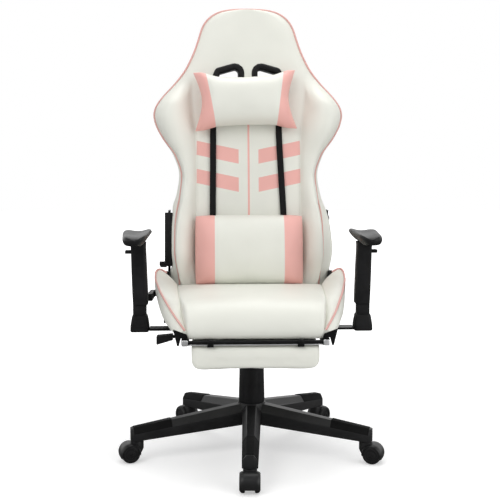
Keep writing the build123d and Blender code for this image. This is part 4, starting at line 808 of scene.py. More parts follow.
def make_back():
    """Padded back: bolsters sewn to a centre panel, piping round its edge, two strap holes."""
    rings = np.array([back_section(z) for z in BACK_ROWS])
    mesh = box_shell("back_cover", rings, BACK_N, BACK_G)
    points = read_points(mesh)
    seam_columns = [BOLSTER_STEPS, BACK_N - BOLSTER_STEPS]
    edge_columns = [0, BACK_N]
    sewn_rows = BACK_ROWS < HEAD_BLEND[1] - 30
    seams = np.concatenate([rings[sewn_rows, c] for c in seam_columns])
    edges = np.concatenate([rings[:, c] for c in edge_columns] + [rings[-1, :BACK_N + 1], rings[0]])
    rear = np.concatenate([rings[:, c] for c in (BACK_N + BACK_G, 2 * BACK_N + BACK_G)])
    hole = rounded_outline(HOLE_CORNERS, HOLE_ROUNDS)
    holes = [(side * x, back_front(z) - 2, z) for side in (-1, 1) for x, z in hole]
    lines = np.vstack([seams, edges, rear])
    sewn = (nearest(points, lines, 1.0) > 0) | (nearest(points, holes, 14) > 0)
    # the rear and the centre panel stay nearly flat
    height = points[:, 2] / MM
    depth = points[:, 1] / MM - back_front(height)
    flat = (np.abs(points[:, 0]) < 0.148) & (depth < 30)
    inflated(mesh, sewn | (depth > 40) & (np.abs(points[:, 0]) < 0.19), 5.0, 7)
    filled = read_points(mesh)
    filled[flat] = 0.75 * points[flat] + 0.25 * filled[flat]
    write_points(mesh, filled)
    held = np.maximum(nearest(filled, lines, 22), nearest(filled, holes, 30))
    near_seam = nearest(filled, seams, 26) * (1 - nearest(filled, seams, 3))
    swelling = ripple(filled, 14, 1.6, 1) * (1 - held) * np.where(flat, 0.5, 1)
    pushed(mesh, swelling + gathers(filled, 60, 60, 85) * near_seam * 0.9 * MM)
    fine = refined(mesh, "back_cover")
    fine.materials.append(FINISH["banded_leather"])
    piece = new_object("back_cover", fine)
    cutters = []
    for side in (-1, 1):
        prism = [[(side * x, y, z) for x, z in hole] for y in HOLE_DEPTH]
        cutters.append(swept("hole", prism, 180))
    cutter = new_object("strap_holes", joined(cutters, "strap_holes"))
    cut = piece.modifiers.new("holes", "BOOLEAN")
    cut.operation = "DIFFERENCE"
    cut.solver = "EXACT"
    cut.object = cutter
    made = baked(piece, "back_cover")
    bpy.data.objects.remove(piece)
    bpy.data.objects.remove(cutter)
    tidy_mesh(made, 50)
    cover = add_piece("back_cover", made, None, "back", "white_leather", "backrest_pad", "back_frame")
    return rings, seams


back_rings, back_seams = make_back()


def back_piping():
    """Pink bead round the edge of the back, one length up one side, over the head and down the other."""
    left = back_rings[:, 0]
    right = back_rings[::-1, BACK_N]
    path = np.vstack([left, right])
    over = np.clip((path[:, 2] - 1190) / 48, 0, 1)
    path[:, 0] += 1.2 * np.sign(path[:, 0]) * (1 - over)
    path[:, 1] -= 1.0
    path[:, 2] += 1.2 * over
    path = curve_points(path[::2], 520)
    add_piece("back_piping", tube_mesh("back_piping", path, PIPING_R), "piping", "back", "white_leather")


back_piping()


def inset_corners(corners, by):
    """The corners of an outline, listed anticlockwise, with every edge moved inwards."""
    corners = np.array(corners, float)
    moved = []
    for i, corner in enumerate(corners):
        before = corner - corners[i - 1]
        after = corners[(i + 1) % len(corners)] - corner
        before /= np.linalg.norm(before)
        after /= np.linalg.norm(after)
        inward = np.array([-before[1], before[0]]) + np.array([-after[1], after[0]])
        moved.append(corner + inward * by / (1 + before @ after))
    return np.array(moved)


def make_trim(side):
    """Moulded grommet of a strap hole: a rounded lip on the front and the rear, and a wall between."""
    front = []
    rear = []
    for inward, proud in TRIM_SECTION:
        outline = rounded_outline(inset_corners(HOLE_CORNERS, inward), np.maximum(HOLE_ROUNDS - inward, 3))
        face = back_front(outline[:, 1])
        thick = through(BACK_STATIONS, 4, outline[:, 1]) + 2
        front.append(np.column_stack([side * outline[:, 0], face - 4.5 - proud, outline[:, 1]]))
        rear.append(np.column_stack([side * outline[:, 0], face + thick + proud, outline[:, 1]]))
    return swept("trim", front + rear[::-1], 60, closed=True)


lips = joined([make_trim(side) for side in (-1, 1)], "strap_hole_lips")
add_piece("strap_hole_lips", lips, "black_plastic", "back", "black_plastic", "strap_hole_trims")


UP = np.array([0, math.sin(LEAN), math.cos(LEAN)])
FORWARD = np.array([0, -math.cos(LEAN), math.sin(LEAN)])
PILLOW_START = 8.4


def make_pillow(name, height, stations, seam, end, shift, tilt, pressure, cap, round_corner):
    """Stuffed pillow: a white middle between two pink ends, rounded off to a seam all round.

    seam and end give the half width of the middle and of the pillow at a share of its height.
    """
    middle_steps, end_steps, rows = 30, 8, 28
    across = middle_steps + 2 * end_steps
    turn = math.radians(tilt)
    origin = np.array([shift, back_front(height) - PILLOW_START, height])
    sheets = []
    for rear in (False, True):
        sheet = []
        for r in range(rows + 1):
            b = math.sin(math.pi / 2 * (2 * r / rows - 1))
            row = []
            for c in range(across + 1):
                if c < end_steps:
                    x = -end(b) + (end(b) - seam(b)) * c / end_steps
                elif c > across - end_steps:
                    x = end(b) - (end(b) - seam(b)) * (across - c) / end_steps
                else:
                    x = seam(b) * (2 * (c - end_steps) / middle_steps - 1)
                a = x / end(b)
                corner = 1 - round_corner * (a * b) ** 6
                up = b * float(through(stations, 1 if b > 0 else 2, abs(x))) * corner
                thick = float(through(stations, 3, abs(x)))
                bulge = math.sqrt(max(0, (1 - abs(b) ** 3.2) * (1 - abs(a) ** 9)))
                level = 0.28 * thick + 3
                depth = level * (1 - bulge) if rear else level + (thick - level) * bulge
                x = x * corner
                place = origin + UP * (up * math.cos(turn) + x * math.sin(turn)) + FORWARD * depth
                place[0] += x * math.cos(turn) - up * math.sin(turn)
                row.append(place)
            sheet.append(row)
        sheets.append(np.array(sheet))
    points = [tuple(p) for sheet in sheets for p in sheet.reshape(-1, 3)]
    faces = grid_faces(rows + 1, across + 1)
    rear_start = (rows + 1) * (across + 1)
    faces += [face[::-1] for face in grid_faces(rows + 1, across + 1, start=rear_start)]
    mesh = solid_mesh(name, points, faces)
    cover = read_points(mesh)
    front = sheets[0]
    seams = np.vstack([front[:, end_steps], front[:, across - end_steps]])
    rim = np.vstack([front[0], front[-1], front[:, 0], front[:, -1]])
    sewn = nearest(cover, np.vstack([seams, rim]), 0.8) > 0
    behind = (cover / MM - origin) @ FORWARD < 1.0
    inflated(mesh, sewn | behind, pressure, cap)
    filled = read_points(mesh)
    near = nearest(filled, np.vstack([seams, rim]), 24)
    folds = gathers(filled, 70) * near * (1 - near) * 3.0 * MM
    dip = nearest(filled, seams, 3) * MM
    pushed(mesh, np.where(behind, 0, ripple(filled, 17, 2.0, 2) * (1 - near) + folds - dip))
    widest = max(seam(-1), seam(1))
    mesh.materials.append(FINISH["white_leather"])
    mesh.materials.append(FINISH["pink_leather"])
    for face in mesh.polygons:
        centre = sum((mesh.vertices[v].co for v in face.vertices), Vector()) / len(face.vertices) / MM
        offset = np.array(centre) - origin
        rise = offset @ UP
        b = rise / float(through(stations, 1 if rise > 0 else 2, min(abs(offset[0]), widest)))
        local = offset[0] * math.cos(turn) + (offset @ UP) * math.sin(turn)
        face.material_index = int(abs(local) > seam(max(-1, min(1, b))))
    fine = refined(mesh, name)
    piece = add_piece(name + "_cover", fine, None, "back", "white_leather", name)


# Pillow stations: x, reach up and down from the middle, thickness
HEAD_STATIONS = [(0, 63, 74, 90), (75, 68, 76, 86), (128, 86, 87, 68), (152, 90, 88, 36)]
LUMBAR_STATIONS = [(0, 98, 101, 84), (80, 98, 101, 82), (128, 98, 101, 72), (157, 97, 100, 52)]
make_pillow(
    "head_pillow", 963, HEAD_STATIONS, lambda b: 101 + 13 * b, lambda b: 127 + 27 * abs(b) ** 1.7,
    shift=-9, tilt=1.6, pressure=4.0, cap=5, round_corner=0.02)
make_pillow(
    "lumbar_pillow", 536, LUMBAR_STATIONS, lambda b: 98.5, lambda b: 157.0,
    shift=-1, tilt=0, pressure=4.0, cap=5, round_corner=0.012)


# Seat

# Top line of the cushion from its rear to its nose: y, height, share of the crown's fall
CUSHION_TOP = [
    (153, 442, 0.3), (90, 445, 0.5), (0, 449, 1), (-90, 453, 1), (-170, 454, 1), (-216, 449, 1),
    (-243, 432, 1), (-254, 407, 1), (-257, 385, 0), (-254, 364, 0),
]
CUSHION_UNDER = 387.5
# Half widths of the cushion: y, half width
CUSHION_HALVES = [(-260, 170), (-225, 177), (-160, 186), (-60, 195), (40, 202), (160, 208)]


def cushion_half(y):
    """Half width of the seat cushion at a place along the seat."""
    return through(CUSHION_HALVES, 1, y)


def make_cushion():
    """Seat cushion: crowned along and across, rolled over the front edge down to the frame."""
    n, g = 40, 8
    rings = []
    for share in np.linspace(-1, 1, 45):
        drop = 8 * abs(share) ** 3.6 + 2 * share ** 2
        top = curve_points([(y, z - fall * drop) for y, z, fall in CUSHION_TOP], n + 1)
        under = np.column_stack([np.linspace(-236, 151, n + 1), np.full(n + 1, CUSHION_UNDER)])
        nose = curve_points([(-254, 364), (-248, 361), (-239, 363), (-236, CUSHION_UNDER)], g + 1)
        rear = np.column_stack([np.linspace(151, 153, g + 1), np.linspace(CUSHION_UNDER, top[0, 1], g + 1)])
        loop = np.vstack([top, nose[1:-1], under, rear[1:-1]])
        rings.append(np.column_stack([share * (cushion_half(loop[:, 0]) - 0.5), loop]))
    rings = np.array(rings)
    mesh = box_shell("seat_cover", rings, n, g)
    points = read_points(mesh)
    sides = np.concatenate([rings[0, :n + 1], rings[-1, :n + 1]])
    rim = np.concatenate([sides, rings[:, n], rings[:, 0]])
    hidden = (points[:, 2] < (CUSHION_UNDER + 1) * MM) & (points[:, 1] > -237 * MM)
    sewn = (nearest(points, rim, 0.8) > 0) | hidden
    inflated(mesh, sewn, 5.0, 6)
    filled = read_points(mesh)
    near = nearest(filled, rim, 26)
    folds = gathers(filled, 40, 75, 75) * near * (1 - near) * 4.0 * MM
    pushed(mesh, np.where(hidden, 0, ripple(filled, 11, 2.4, 3) * (1 - near) + folds))
    fine = refined(mesh, "seat_cover")
    piece = add_piece("seat_cover", fine, "white_leather", "seat", "white_leather", "seat_cushion")


make_cushion()

# Side bolsters of the seat: y, edge x, edge height, outer foot x, height at the inner seam
BOLSTER_STATIONS = [
    (-252, 175, 383, 184, 380), (-190, 202, 408, 208, 405), (-90, 229, 429, 226, 434),
    (20, 254, 451, 240, 438), (100, 266, 467, 245, 438), (135, 267, 477, 243, 438), (153, 260, 485, 239, 439),
]
WING_FOOT = 368
WING_N = 14
WING_G = 12


def make_bolster(side):
    """One flared wing of the seat, sewn to the cushion."""
    n, g = WING_N, WING_G
    rings = []
    for y in np.linspace(-252, 153, 62):
        edge_x, edge_z, foot_x, seam_z = (float(through(BOLSTER_STATIONS, c, y)) for c in range(1, 5))
        seam_x = float(cushion_half(y)) - 0.8
        seam = np.array([seam_x, seam_z])
        edge = np.array([edge_x, edge_z])
        run = edge - seam
        length = np.linalg.norm(run)
        swell = np.array([-run[1], run[0]]) / max(length, 1e-6) * min(6, 0.1 * length + 1)
        crown = [seam + 0.3 * run + 0.8 * swell, seam + 0.7 * run + swell]
        face = curve_points([seam, *crown, edge], n + 1)
        tall = edge_z - WING_FOOT
        full = 5 + 6 * ramp(-y, -60, 90)
        shoulder = (edge_x + 0.7 * full, edge_z - 0.14 * tall)
        belly = (edge_x + 0.45 * (foot_x - edge_x) + full, WING_FOOT + 0.45 * tall)
        flank = curve_points([edge, shoulder, belly, (foot_x, WING_FOOT)], g + 1)
        foot = np.column_stack([np.linspace(foot_x, seam_x, n + 1), np.full(n + 1, WING_FOOT)])
        inner = np.column_stack([np.full(g + 1, seam_x), np.linspace(WING_FOOT, seam_z, g + 1)])
        loop = np.vstack([face, flank[1:-1], foot, inner[1:-1]])
        rings.append(np.column_stack([side * loop[:, 0], np.full(len(loop), y), loop[:, 1]]))
    rings = np.array(rings)
    mesh = box_shell("wing", rings, n, g)
    points = read_points(mesh)
    lines = np.concatenate([rings[:, 0], rings[:, n], rings[:, n + g], rings[0], rings[-1]])
    hidden = np.abs(points[:, 0]) / MM < cushion_half(points[:, 1] / MM) + 1.5
    rise = points[:, 2] / MM - WING_FOOT
    inflated(mesh, (nearest(points, lines, 0.8) > 0) | hidden | (rise < 0.5), 5.0, 5)
    filled = read_points(mesh)
    near = nearest(filled, lines, 22)
    folds = gathers(filled, 62) * near * (1 - near) * 3.5 * MM
    pushed(mesh, np.where(hidden | (rise < 1), 0, ripple(filled, 15, 1.8, 4 + side) * (1 - near) + folds))
    return refined(mesh, "wing"), rings


wings = [make_bolster(side) for side in (-1, 1)]
wing_cover = add_piece("wing_covers", joined([wing[0] for wing in wings], "wing_covers"), "white_leather",
                       "seat", "white_leather", "seat_bolsters")
wing_lines = []
for side, (_, rings) in zip((-1, 1), wings):
    # the bead runs along the edge and turns in over the rear end
    path = np.vstack([rings[:, WING_N], rings[-1, WING_N - 1:7:-1]])
    path[:, 0] += side * 0.8
    path[:, 2] += 1.0
    wing_lines.append(curve_points(path[::2], 150))
beads = joined([tube_mesh("bead", path, PIPING_R) for path in wing_lines], "wing_piping")
add_piece("wing_piping", beads, "piping", "seat", "white_leather")


FOOTREST_HALF = 159
FOOTREST_TOP = 344.5


def make_footrest():
    """Footrest pad: a soft block, hung under its bar, with rounded lower edges."""
    n, g = 26, 8
    rings = []
    for x in np.linspace(-FOOTREST_HALF, FOOTREST_HALF, 47):
        near_end = ramp(abs(x), FOOTREST_HALF - 20, FOOTREST_HALF)
        shrink = 1 - math.sqrt(max(0, 1 - near_end ** 2))
        low = 287 + 13 * shrink
        front, back = -265 + 4 * shrink, -105 - 4 * shrink
        face = curve_points([(back, low + 12), (back - 4, low + 3), (back - 14, low), (-185, low - 1.5),
                             (front + 14, low), (front + 3, low + 3), (front, low + 13)], n + 1)
        nose = curve_points([(front, low + 13), (front - 0.5, 322), (front + 1, 338),
                             (front + 5, FOOTREST_TOP)], g + 1)
        top = np.column_stack([np.linspace(front + 5, back - 4, n + 1), np.full(n + 1, FOOTREST_TOP)])
        rear = curve_points([(back - 4, FOOTREST_TOP), (back - 1, 339), (back, 322), (back, low + 12)], g + 1)
        loop = np.vstack([face, nose[1:-1], top, rear[1:-1]])
        rings.append(np.column_stack([np.full(len(loop), x), loop]))
    rings = np.array(rings)
    mesh = box_shell("footrest_cover", rings, n, g)
    points = read_points(mesh)
    rim = np.concatenate([rings[:, n + g], rings[:, 2 * n + g]])
    flat = points[:, 2] > (FOOTREST_TOP - 0.5) * MM
    inflated(mesh, (nearest(points, rim, 0.8) > 0) | flat, 3.0, 3)
    filled = read_points(mesh)
    pushed(mesh, np.where(flat, 0, ripple(filled, 16, 1.6, 7)))
    fine = refined(mesh, "footrest_cover")
    piece = add_piece("footrest_cover", fine, "white_leather", "footrest", "white_leather", "footrest_pad")


make_footrest()


# Arms

ARM_X = 304
SLEEVE_LEAN = 2.5                   # of the sleeve's top, outwards
# Section of an arm pad from its inner edge outwards: share of its width, height
PAD_SECTION = [
    (0, 600), (0.04, 606), (0.1, 607.5), (0.18, 605.5), (0.32, 602.5), (0.47, 601), (0.65, 602.5),
    (0.8, 605), (0.9, 604.5), (0.97, 600.5), (1, 594.5), (0.985, 588), (0.94, 582.5), (0.86, 579),
    (0.72, 577.5), (0.5, 577), (0.32, 577), (0.22, 579.5), (0.13, 586), (0.05, 594),
]
# Arm pad along its length: y, inner edge, outer edge
PAD_EDGES = [(-132, 276, 338), (112, 272, 358)]
# Levels of a sleeve and of a post with its collar: height, half width, half depth, corner
SLEEVE_LEVELS = [
    (409, 18.8, 17.6, 5), (410.5, 20.3, 19, 7), (440, 20.8, 19.3, 7), (500, 20.6, 19.2, 7), (560, 20, 19, 7),
    (570, 20.3, 19.2, 7), (578, 21.4, 20.4, 7),
]
POST_LEVELS = [
    (335.5, 22.5, 22.5, 5), (337, 24.6, 24.6, 7), (339, 25.2, 25.2, 8), (352, 24.8, 24.8, 8),
    (368, 22.4, 22.4, 8), (376, 20.8, 20.8, 7), (379, 20, 20, 6), (380.2, 18.5, 16, 5), (381.5, 18, 14, 4),
    (497, 18, 14, 4),
]


def make_arm_pad(side):
    """Arm pad: a dished foam top, a full outer roll, a thin inner lip and a belly that meets the sleeve."""
    section = curve_points(PAD_SECTION + PAD_SECTION[:1], 57)[:-1]
    centre = np.array([0.5, 590])
    rings = []
    for t in np.sin(np.linspace(-math.pi / 2, math.pi / 2, 44)):
        size = max(0.03, (1 - abs(t) ** 8) ** 0.4)
        loop = centre + (section - centre) * (size, 0.25 * size + 0.75 * size ** 0.7)
        y = -10 + 122 * t
        inner, outer = (float(through(PAD_EDGES, c, y)) for c in (1, 2))
        x = inner + (outer - inner) * loop[:, 0]
        rings.append(np.column_stack([side * x, np.full(len(loop), y), loop[:, 1]]))
    mesh = box_shell("arm_pad", np.array(rings), 26, 2)
    return refined(mesh, "arm_pad")


def make_upright(name, levels, centre, lean=0.0):
    """A rounded rectangular upright through its levels, leaning sideways about its middle height."""
    middle = 0.5 * (levels[0][0] + levels[-1][0])
    rings = []
    for z, half_x, half_y, corner in levels:
        ring = rounded_outline(rectangle(-half_x, half_x, -half_y, half_y), corner)
        shift = lean * (z - middle) / (levels[-1][0] - middle)
        rings.append(np.column_stack([centre + shift + ring[:, 0], ring[:, 1], np.full(len(ring), z)]))
    return swept(name, rings, 40)


for hand, side in (("right", -1), ("left", 1)):
    pad = add_piece(f"arm_pad_{hand}_foam", make_arm_pad(side), "arm_foam", f"arm_{hand}", "arm_foam",
                    f"arm_pad_{hand}")
    sleeve = make_upright("sleeve", SLEEVE_LEVELS, side * ARM_X, side * SLEEVE_LEAN)
    add_piece(f"arm_sleeve_{hand}_moulding", sleeve, "black_plastic", f"arm_{hand}", "black_plastic",
              f"arm_sleeve_{hand}")
    dressed(f"arm_trigger_{hand}", f"trigger_{hand}", "black_plastic", edge=0.8)
posts = joined([make_upright("post", POST_LEVELS, side * ARM_X) for side in (-1, 1)], "arm_post_collars")
add_piece("arm_post_collars", posts, "black_plastic", "seat", "black_steel", "arm_posts")

# Hard pieces keep their CAD shape and get rounded edges
ROUNDED = [
    ("base_star", "base", "black_nylon", 2.0), ("foot_grips", "base", "grip_rubber", 0.5),
    ("column_cover_outer", "base", "black_plastic", 0.8),
    ("column_cover_middle", "cover_middle", "black_plastic", 0.6),
    ("column_cover_inner", "mechanism", "black_plastic", 0.5),
    ("mechanism_housing", "mechanism", "black_steel", 1.0),
    ("tension_knob", "knob", "black_plastic", 0.8), ("lift_lever_paddle", "lift_lever", "black_plastic", 1.5),
    ("seat_plate", "seat", "black_steel", 0.6), ("seat_frame", "seat", "black_steel", 1.5),
    ("arm_brackets", "seat", "black_steel", 1.0),
    ("hinge_plates", "seat", "black_steel", 1.0),
    ("recline_lever", "recline_handle", "black_plastic", 1.5),
    ("back_brackets", "back", "black_steel", 1.0), ("bracket_cover", "back", "black_plastic", 1.5),
    ("footrest_rails", "footrest_slide", "black_steel", 0.8),
    ("footrest_hinges", "footrest", "black_steel", 0.8),
]
for node, body, slot, edge in ROUNDED:
    dressed(node, body, slot, edge=edge)

# Footrest guides: a tube each side, two tabs to the frame, and a front bracket with a raised corner
GUIDE_X = 175
GUIDE_HALF = 9
GUIDE_MIDDLE = 355.5
GUIDE_ENDS = (-259.5, 60)
TAB_ROOT = 35                       # of a tab, inwards from the middle of its tube
TAB_HEIGHTS = (360, 365)
TAB_PLACES = (-234, 38)
TAB_LENGTH = 22
BRACKET_ENDS = (-261, -257)
BRACKET_CORNERS = [
    (204.5, 388), (171, 375.5), (167.5, 366), (185, 366), (188.5, 353), (190, 346.5), (194.5, 346.5),
]


def make_bar(name, corners, rounds, near, far):
    """A straight bar along Y with a rounded outline given as x and height."""
    outline = rounded_outline(corners, rounds, 4)
    return swept(name, [[(x, y, z) for x, z in outline] for y in (near, far)], 35)


guides = []
for side in (-1, 1):
    inner, outer = side * (GUIDE_X - GUIDE_HALF), side * (GUIDE_X + GUIDE_HALF)
    tube = rectangle(inner, outer, GUIDE_MIDDLE - GUIDE_HALF, GUIDE_MIDDLE + GUIDE_HALF)
    guides.append(make_bar("tube", tube, 2.5, *GUIDE_ENDS))
    tab = rectangle(side * (GUIDE_X - TAB_ROOT), inner, *TAB_HEIGHTS)
    guides += [make_bar("tab", tab, 1, y, y + TAB_LENGTH) for y in TAB_PLACES]
    bracket = [(side * x, z) for x, z in BRACKET_CORNERS]
    guides.append(make_bar("bracket", bracket, 1.2, *BRACKET_ENDS))
guide_tubes = joined(guides, "footrest_guide_tubes")
add_piece("footrest_guide_tubes", guide_tubes, "black_steel", "seat", "black_steel", "footrest_guides")

slot_of = {part["node"]: part["material_slot"] for part in frame["record"]["subparts"]}

# Tilt spring: a coil of round wire
SPRING_Y = 46
SPRING_FOOT = 321.4
SPRING_R = 15
SPRING_TURNS = 4
SPRING_STEPS = 161
SPRING_RISE = 36.2                  # of the wire's middle from end to end
WIRE_R = 2.0
coil_angles = np.linspace(0, 2 * math.pi * SPRING_TURNS, SPRING_STEPS)
coil_path = np.column_stack([SPRING_R * np.cos(coil_angles), SPRING_Y + SPRING_R * np.sin(coil_angles),
                             SPRING_FOOT + WIRE_R + np.linspace(0, SPRING_RISE, SPRING_STEPS)])
coil_mesh = tube_mesh("tilt_spring_coil", coil_path, WIRE_R)
coil = add_piece("tilt_spring_coil", coil_mesh, "bright_steel", "mechanism", slot_of["tilt_spring"],
                 "tilt_spring")
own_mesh(coil)

# Every other CAD node that still shows takes its slot's finish
for node, thing in frame["nodes"].items():
    if not thing.hide_render:
        thing.data.materials.clear()
        thing.data.materials.append(FINISH[slot_of[node]])


# Straps, casters and small parts

def ribbon_mesh(name, path, width, thick):
    """A flat band that closes on itself, its width along X, through millimetre points."""
    path = np.array(path, float)
    along = np.roll(path, -1, axis=0) - np.roll(path, 1, axis=0)
    along /= np.linalg.norm(along, axis=1)[:, None]
    side = np.array([1.0, 0, 0]) - along * along[:, :1]
    side /= np.linalg.norm(side, axis=1)[:, None]
    out = np.cross(along, side)
    corners = rectangle(-width / 2, width / 2, -thick / 2, thick / 2)
    rings = [[centre + s * a + o * b for a, b in corners] for centre, s, o in zip(path, side, out)]
    return swept(name, rings, 40, closed=True)


STRAP_WIDTH = 18
STRAP_THICK = 1.6
# Where each strap runs down the front of the back: height, x on the sitter's right, x on the sitter's left
STRAP_RUN = [
    (427.5, -97, 97), (520, -103, 101), (630, -105, 100), (760, -104, 94), (890, -103, 89), (1007, -92, 90),
]
STRAP_ENDS = (425.5, 1008.5)        # heights of the turns under and over the back
STRAP_FRONT = -9.0                  # of the two runs from the front of the back
STRAP_REAR = 95.0


def make_straps():
    """Two woven loops round the back: down the front under the pillows and up the rear."""
    loops = []
    for column in (1, 2):
        front = []
        rear = []
        for z in np.linspace(STRAP_RUN[0][0], STRAP_RUN[-1][0], 60):
            x = float(through(STRAP_RUN, column, z))
            front.append((x, back_front(z) + STRAP_FRONT, z))
            rear.append((x, back_front(z) + STRAP_REAR, z))
        low, high = STRAP_ENDS
        under = [(front[0][0], y, low) for y in np.linspace(front[0][1] + 3, rear[0][1] - 3, 14)]
        over = [(front[-1][0], y, high) for y in np.linspace(rear[-1][1] - 3, front[-1][1] + 3, 14)]
        path = np.array(front[::-1] + under + rear + over)
        loops.append(ribbon_mesh("strap", path, STRAP_WIDTH, STRAP_THICK))
    straps = add_piece("strap_loops", joined(loops, "strap_loops"), "black_webbing", "back", "black_webbing",
                       "pillow_straps")


make_straps()

LEG_TURN = -92.9                    # degrees from +X to the front leg
CASTER_RING = 320
CASTER_TRAIL = 20
# Half section of a caster wheel from its inner face outwards: radius, distance along the axle
WHEEL_SECTION = [
    (3.1, 12.3), (9, 12.3), (9.6, 13.4), (17, 13.4), (17.6, 12.3), (22.6, 12.1), (24.2, 12.9),
    (24.9, 14.6), (25, 17), (24.7, 19.3), (23.8, 21.6), (22.3, 23.6), (20.3, 25.0), (18.6, 25.7),
    (17.4, 25.9), (16.8, 24.8), (16.2, 24.3), (10.4, 24.6), (9.8, 25.6), (8.6, 25.9), (3.1, 25.9),
]
# Half section of the fender over both wheels, out along its outside and back along its inside
FENDER_SECTION = [
    (28, 8), (28, 14), (27.6, 18), (26.7, 21.2), (25.2, 24), (23.6, 25.7), (22.9, 25.6), (22.9, 24.3),
    (24.4, 22.2), (25.4, 19.7), (25.7, 17), (25.7, 8),
]
FENDER_ENDS = (-24, 186)            # degrees round the axle
# Neck under the leg from its middle outwards: radius, height, or none where it lies on the fender
NECK_RINGS = [
    (0.5, 55.8), (8, 55.8), (15.8, 55.8), (17.1, 55.2), (17.5, 53.8), (17.5, None), (14, None), (10, None),
    (6, None), (0.5, None),
]
NECK_STEPS = 40
NECK_SEAT_R = 27                    # about the axle, where the neck lies on the fender
AXLE_HEIGHT = 25


def turning(section, angles, closed):
    """A section of radius and distance along the axle, swept round the axle of a caster."""
    rings = [[(CASTER_TRAIL + radius * math.cos(angle), along, AXLE_HEIGHT + radius * math.sin(angle))
              for radius, along in section] for angle in angles]
    return swept("turning", rings, 38, closed)


def make_neck():
    """The hood's neck, a short post whose foot lies on the fender."""
    rings = []
    for radius, height in NECK_RINGS:
        ring = []
        for angle in np.linspace(0, 2 * math.pi, NECK_STEPS, endpoint=False):
            x, y = radius * math.cos(angle), radius * math.sin(angle)
            past = CASTER_TRAIL - NECK_SEAT_R - x
            if height is not None:
                z = height
            elif past < 0:
                z = AXLE_HEIGHT + math.sqrt(NECK_SEAT_R ** 2 - (x - CASTER_TRAIL) ** 2)
            else:
                z = AXLE_HEIGHT + 1.2 * past
            ring.append((x, y, z))
        rings.append(ring)
    return swept("neck", rings, 38)


def make_casters():
    """Twin wheels and a hood, made once and set on each leg."""
    round_angles = np.linspace(0, 2 * math.pi, 56, endpoint=False)
    sections = [[(r, side * y) for r, y in WHEEL_SECTION] for side in (-1, 1)]
    wheels = joined([turning(section, round_angles, True) for section in sections], "wheels")
    fender_loop = FENDER_SECTION + [(r, -y) for r, y in reversed(FENDER_SECTION)]
    fender = turning(fender_loop, np.radians(np.linspace(*FENDER_ENDS, 44)), False)
    web_angles = np.radians(np.linspace(-18, 198, 40))
    web = turning(rectangle(0.5, 25.6, -11.4, 11.4), web_angles, False)
    stem = tube_mesh("stem", [(0, 0, z) for z in (50, 60, 70, 79)], 5.5, 20)
    axle = tube_mesh("axle", [(CASTER_TRAIL, y, AXLE_HEIGHT) for y in (-24, -8, 8, 24)], 3.0, 16)
    hood = joined([fender, web, make_neck(), stem, axle], "hood")
    for n in range(1, 6):
        spin = math.radians(LEG_TURN + 72 * (n - 1))
        cos, sin = math.cos(spin), math.sin(spin)
        turn = np.array([[cos, sin, 0], [-sin, cos, 0], [0, 0, 1]])
        for mesh, name, finish, body, node in (
                (wheels, f"caster_{n}_tyres", "caster_wheel", f"wheels_{n}", f"caster_{n}_wheels"),
                (hood, f"caster_{n}_shell", "black_nylon", f"caster_{n}", f"caster_{n}_hood")):
            placed = mesh.copy()
            placed.name = name
            write_points(placed, (read_points(mesh) + [CASTER_RING * MM, 0, 0]) @ turn)
            add_piece(name, placed, finish, body, finish, node)


make_casters()


def make_plug(place, half, depth):
    """A small domed square plug that closes the front of a footrest rail."""
    x0, y0, z0 = place
    rings = []
    for t in np.linspace(0, 1, 5):
        size = half * (1 - 0.35 * t ** 3)
        ring = rounded_outline(rectangle(-size, size, -size, size), size * 0.35, 4)
        rings.append(np.column_stack([x0 + ring[:, 0], np.full(len(ring), y0 - depth * t), z0 + ring[:, 1]]))
    return swept("plug", rings, 50)


plugs = [make_plug((side * GUIDE_X, -273.0, GUIDE_MIDDLE), 7.4, 2.0) for side in (-1, 1)]
add_piece("rail_plugs", joined(plugs, "rail_plugs"), "bright_steel", "footrest_slide", "bright_steel")
wire = tube_mesh("bar_wire", [(x, -268.5, 350.4) for x in np.linspace(-166, 166, 24)], 1.7)
add_piece("bar_wire", wire, "bright_steel", "footrest_slide", "bright_steel")


# Stitches beside the seams, kept proud of the cover
count = len(back_seams) // 2
back_lines = []
for first, outward in ((0, -1), (count, 1)):
    seam = back_seams[first:first + count]
    seam = seam[(seam[:, 2] > 470) & (seam[:, 2] < 985)]
    for shift in (-4.0, 4.0):
        proud = 1.6 if shift * outward < 0 else 5.2
        back_lines.append(curve_points((seam + (shift, -proud, 0))[::3], 260))
bead_row("back_stitches", back_lines, "back", "white_leather", "thread", 6.5, 4.4, 0.9, 0.7)


# Stage

def add_area_light(name, place, aim, size, power):
    """A soft box that points at a place."""
    data = bpy.data.lights.new(name, "AREA")
    data.shape = "DISK"
    data.size = size
    data.energy = power
    light = new_object(name, data)
    light.location = place
    light.rotation_euler = (Vector(aim) - Vector(place)).to_track_quat("-Z", "Y").to_euler()


WORLD_LIGHT = 0.52
FLOOR_REACH = 9.0
FLOOR_LEVEL = -0.0005
WHITE = (1, 1, 1, 1)


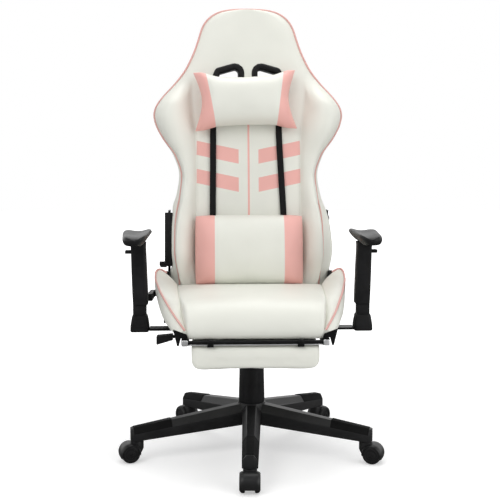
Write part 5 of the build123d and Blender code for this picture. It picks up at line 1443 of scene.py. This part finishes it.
def add_world():
    """Soft even light, white where the camera sees it."""
    world = bpy.data.worlds.new("studio")
    scene.world = world
    world.use_nodes = True
    tree = world.node_tree
    sky = tree.nodes["Background"]
    sky.inputs["Color"].default_value = WHITE
    # reflections find the front and the top of the studio dark, and its sides and back bright
    parts = tree.nodes.new("ShaderNodeSeparateXYZ")
    tree.links.new(tree.nodes.new("ShaderNodeTexCoord").outputs["Generated"], parts.inputs[0])
    sideways = math_node(tree, "ABSOLUTE", parts.outputs["X"])
    facing = math_node(tree, "MAXIMUM", sideways, parts.outputs["Y"])
    mirrored = map_range(tree, facing, 0.35, 0.85, 0.2, 1.15)
    path = tree.nodes.new("ShaderNodeLightPath")
    strength = map_range(tree, path.outputs["Is Glossy Ray"], 0, 1, WORLD_LIGHT, mirrored)
    seen = math_node(tree, "MAXIMUM", path.outputs["Is Camera Ray"], path.outputs["Is Transmission Ray"])
    tree.links.new(math_node(tree, "MAXIMUM", seen, strength), sky.inputs["Strength"])


def add_floor():
    """White floor that keeps the chair's shadow."""
    mesh = bpy.data.meshes.new("studio_floor")
    corners = rectangle(-FLOOR_REACH, FLOOR_REACH, -FLOOR_REACH, FLOOR_REACH)
    mesh.from_pydata([(x, y, FLOOR_LEVEL) for x, y in corners], [], [(0, 1, 2, 3)])
    floor = new_object("studio_floor", mesh)
    material = bpy.data.materials.new("studio_floor")
    material.use_nodes = True
    tree = material.node_tree
    tree.nodes.remove(tree.nodes["Principled BSDF"])
    matt = tree.nodes.new("ShaderNodeBsdfDiffuse")
    # reflections find the floor darker than the camera does
    path = tree.nodes.new("ShaderNodeLightPath")
    shade = tinted(tree, path.outputs["Is Glossy Ray"], (0.82, 0.82, 0.82, 1), (0.16, 0.16, 0.16, 1))
    tree.links.new(shade, matt.inputs["Color"])
    lift = tree.nodes.new("ShaderNodeEmission")
    lift.inputs["Color"].default_value = WHITE
    # the far floor is lifted to white, and the floor round the chair keeps its shadow
    away = tree.nodes.new("ShaderNodeVectorMath")
    away.operation = "LENGTH"
    tree.links.new(tree.nodes.new("ShaderNodeTexCoord").outputs["Object"], away.inputs[0])
    lifted = map_range(tree, away.outputs["Value"], 0.5, 2.4, 0.42, 1.0)
    seen = math_node(tree, "MAXIMUM", path.outputs["Is Camera Ray"], path.outputs["Is Transmission Ray"])
    tree.links.new(math_node(tree, "MULTIPLY", seen, lifted), lift.inputs["Strength"])
    both = tree.nodes.new("ShaderNodeAddShader")
    tree.links.new(matt.outputs[0], both.inputs[0])
    tree.links.new(lift.outputs[0], both.inputs[1])
    tree.links.new(both.outputs[0], tree.nodes["Material Output"].inputs["Surface"])
    mesh.materials.append(material)


add_world()
add_floor()
add_area_light("key_light", (-1.9, -2.6, 3.0), (0, 0, 0.7), 2.2, 39)
add_area_light("fill_light", (2.4, -2.4, 1.6), (0, 0, 0.6), 2.4, 33)
add_area_light("top_light", (0.2, 0.6, 3.4), (0, 0.1, 0.6), 2.0, 40)
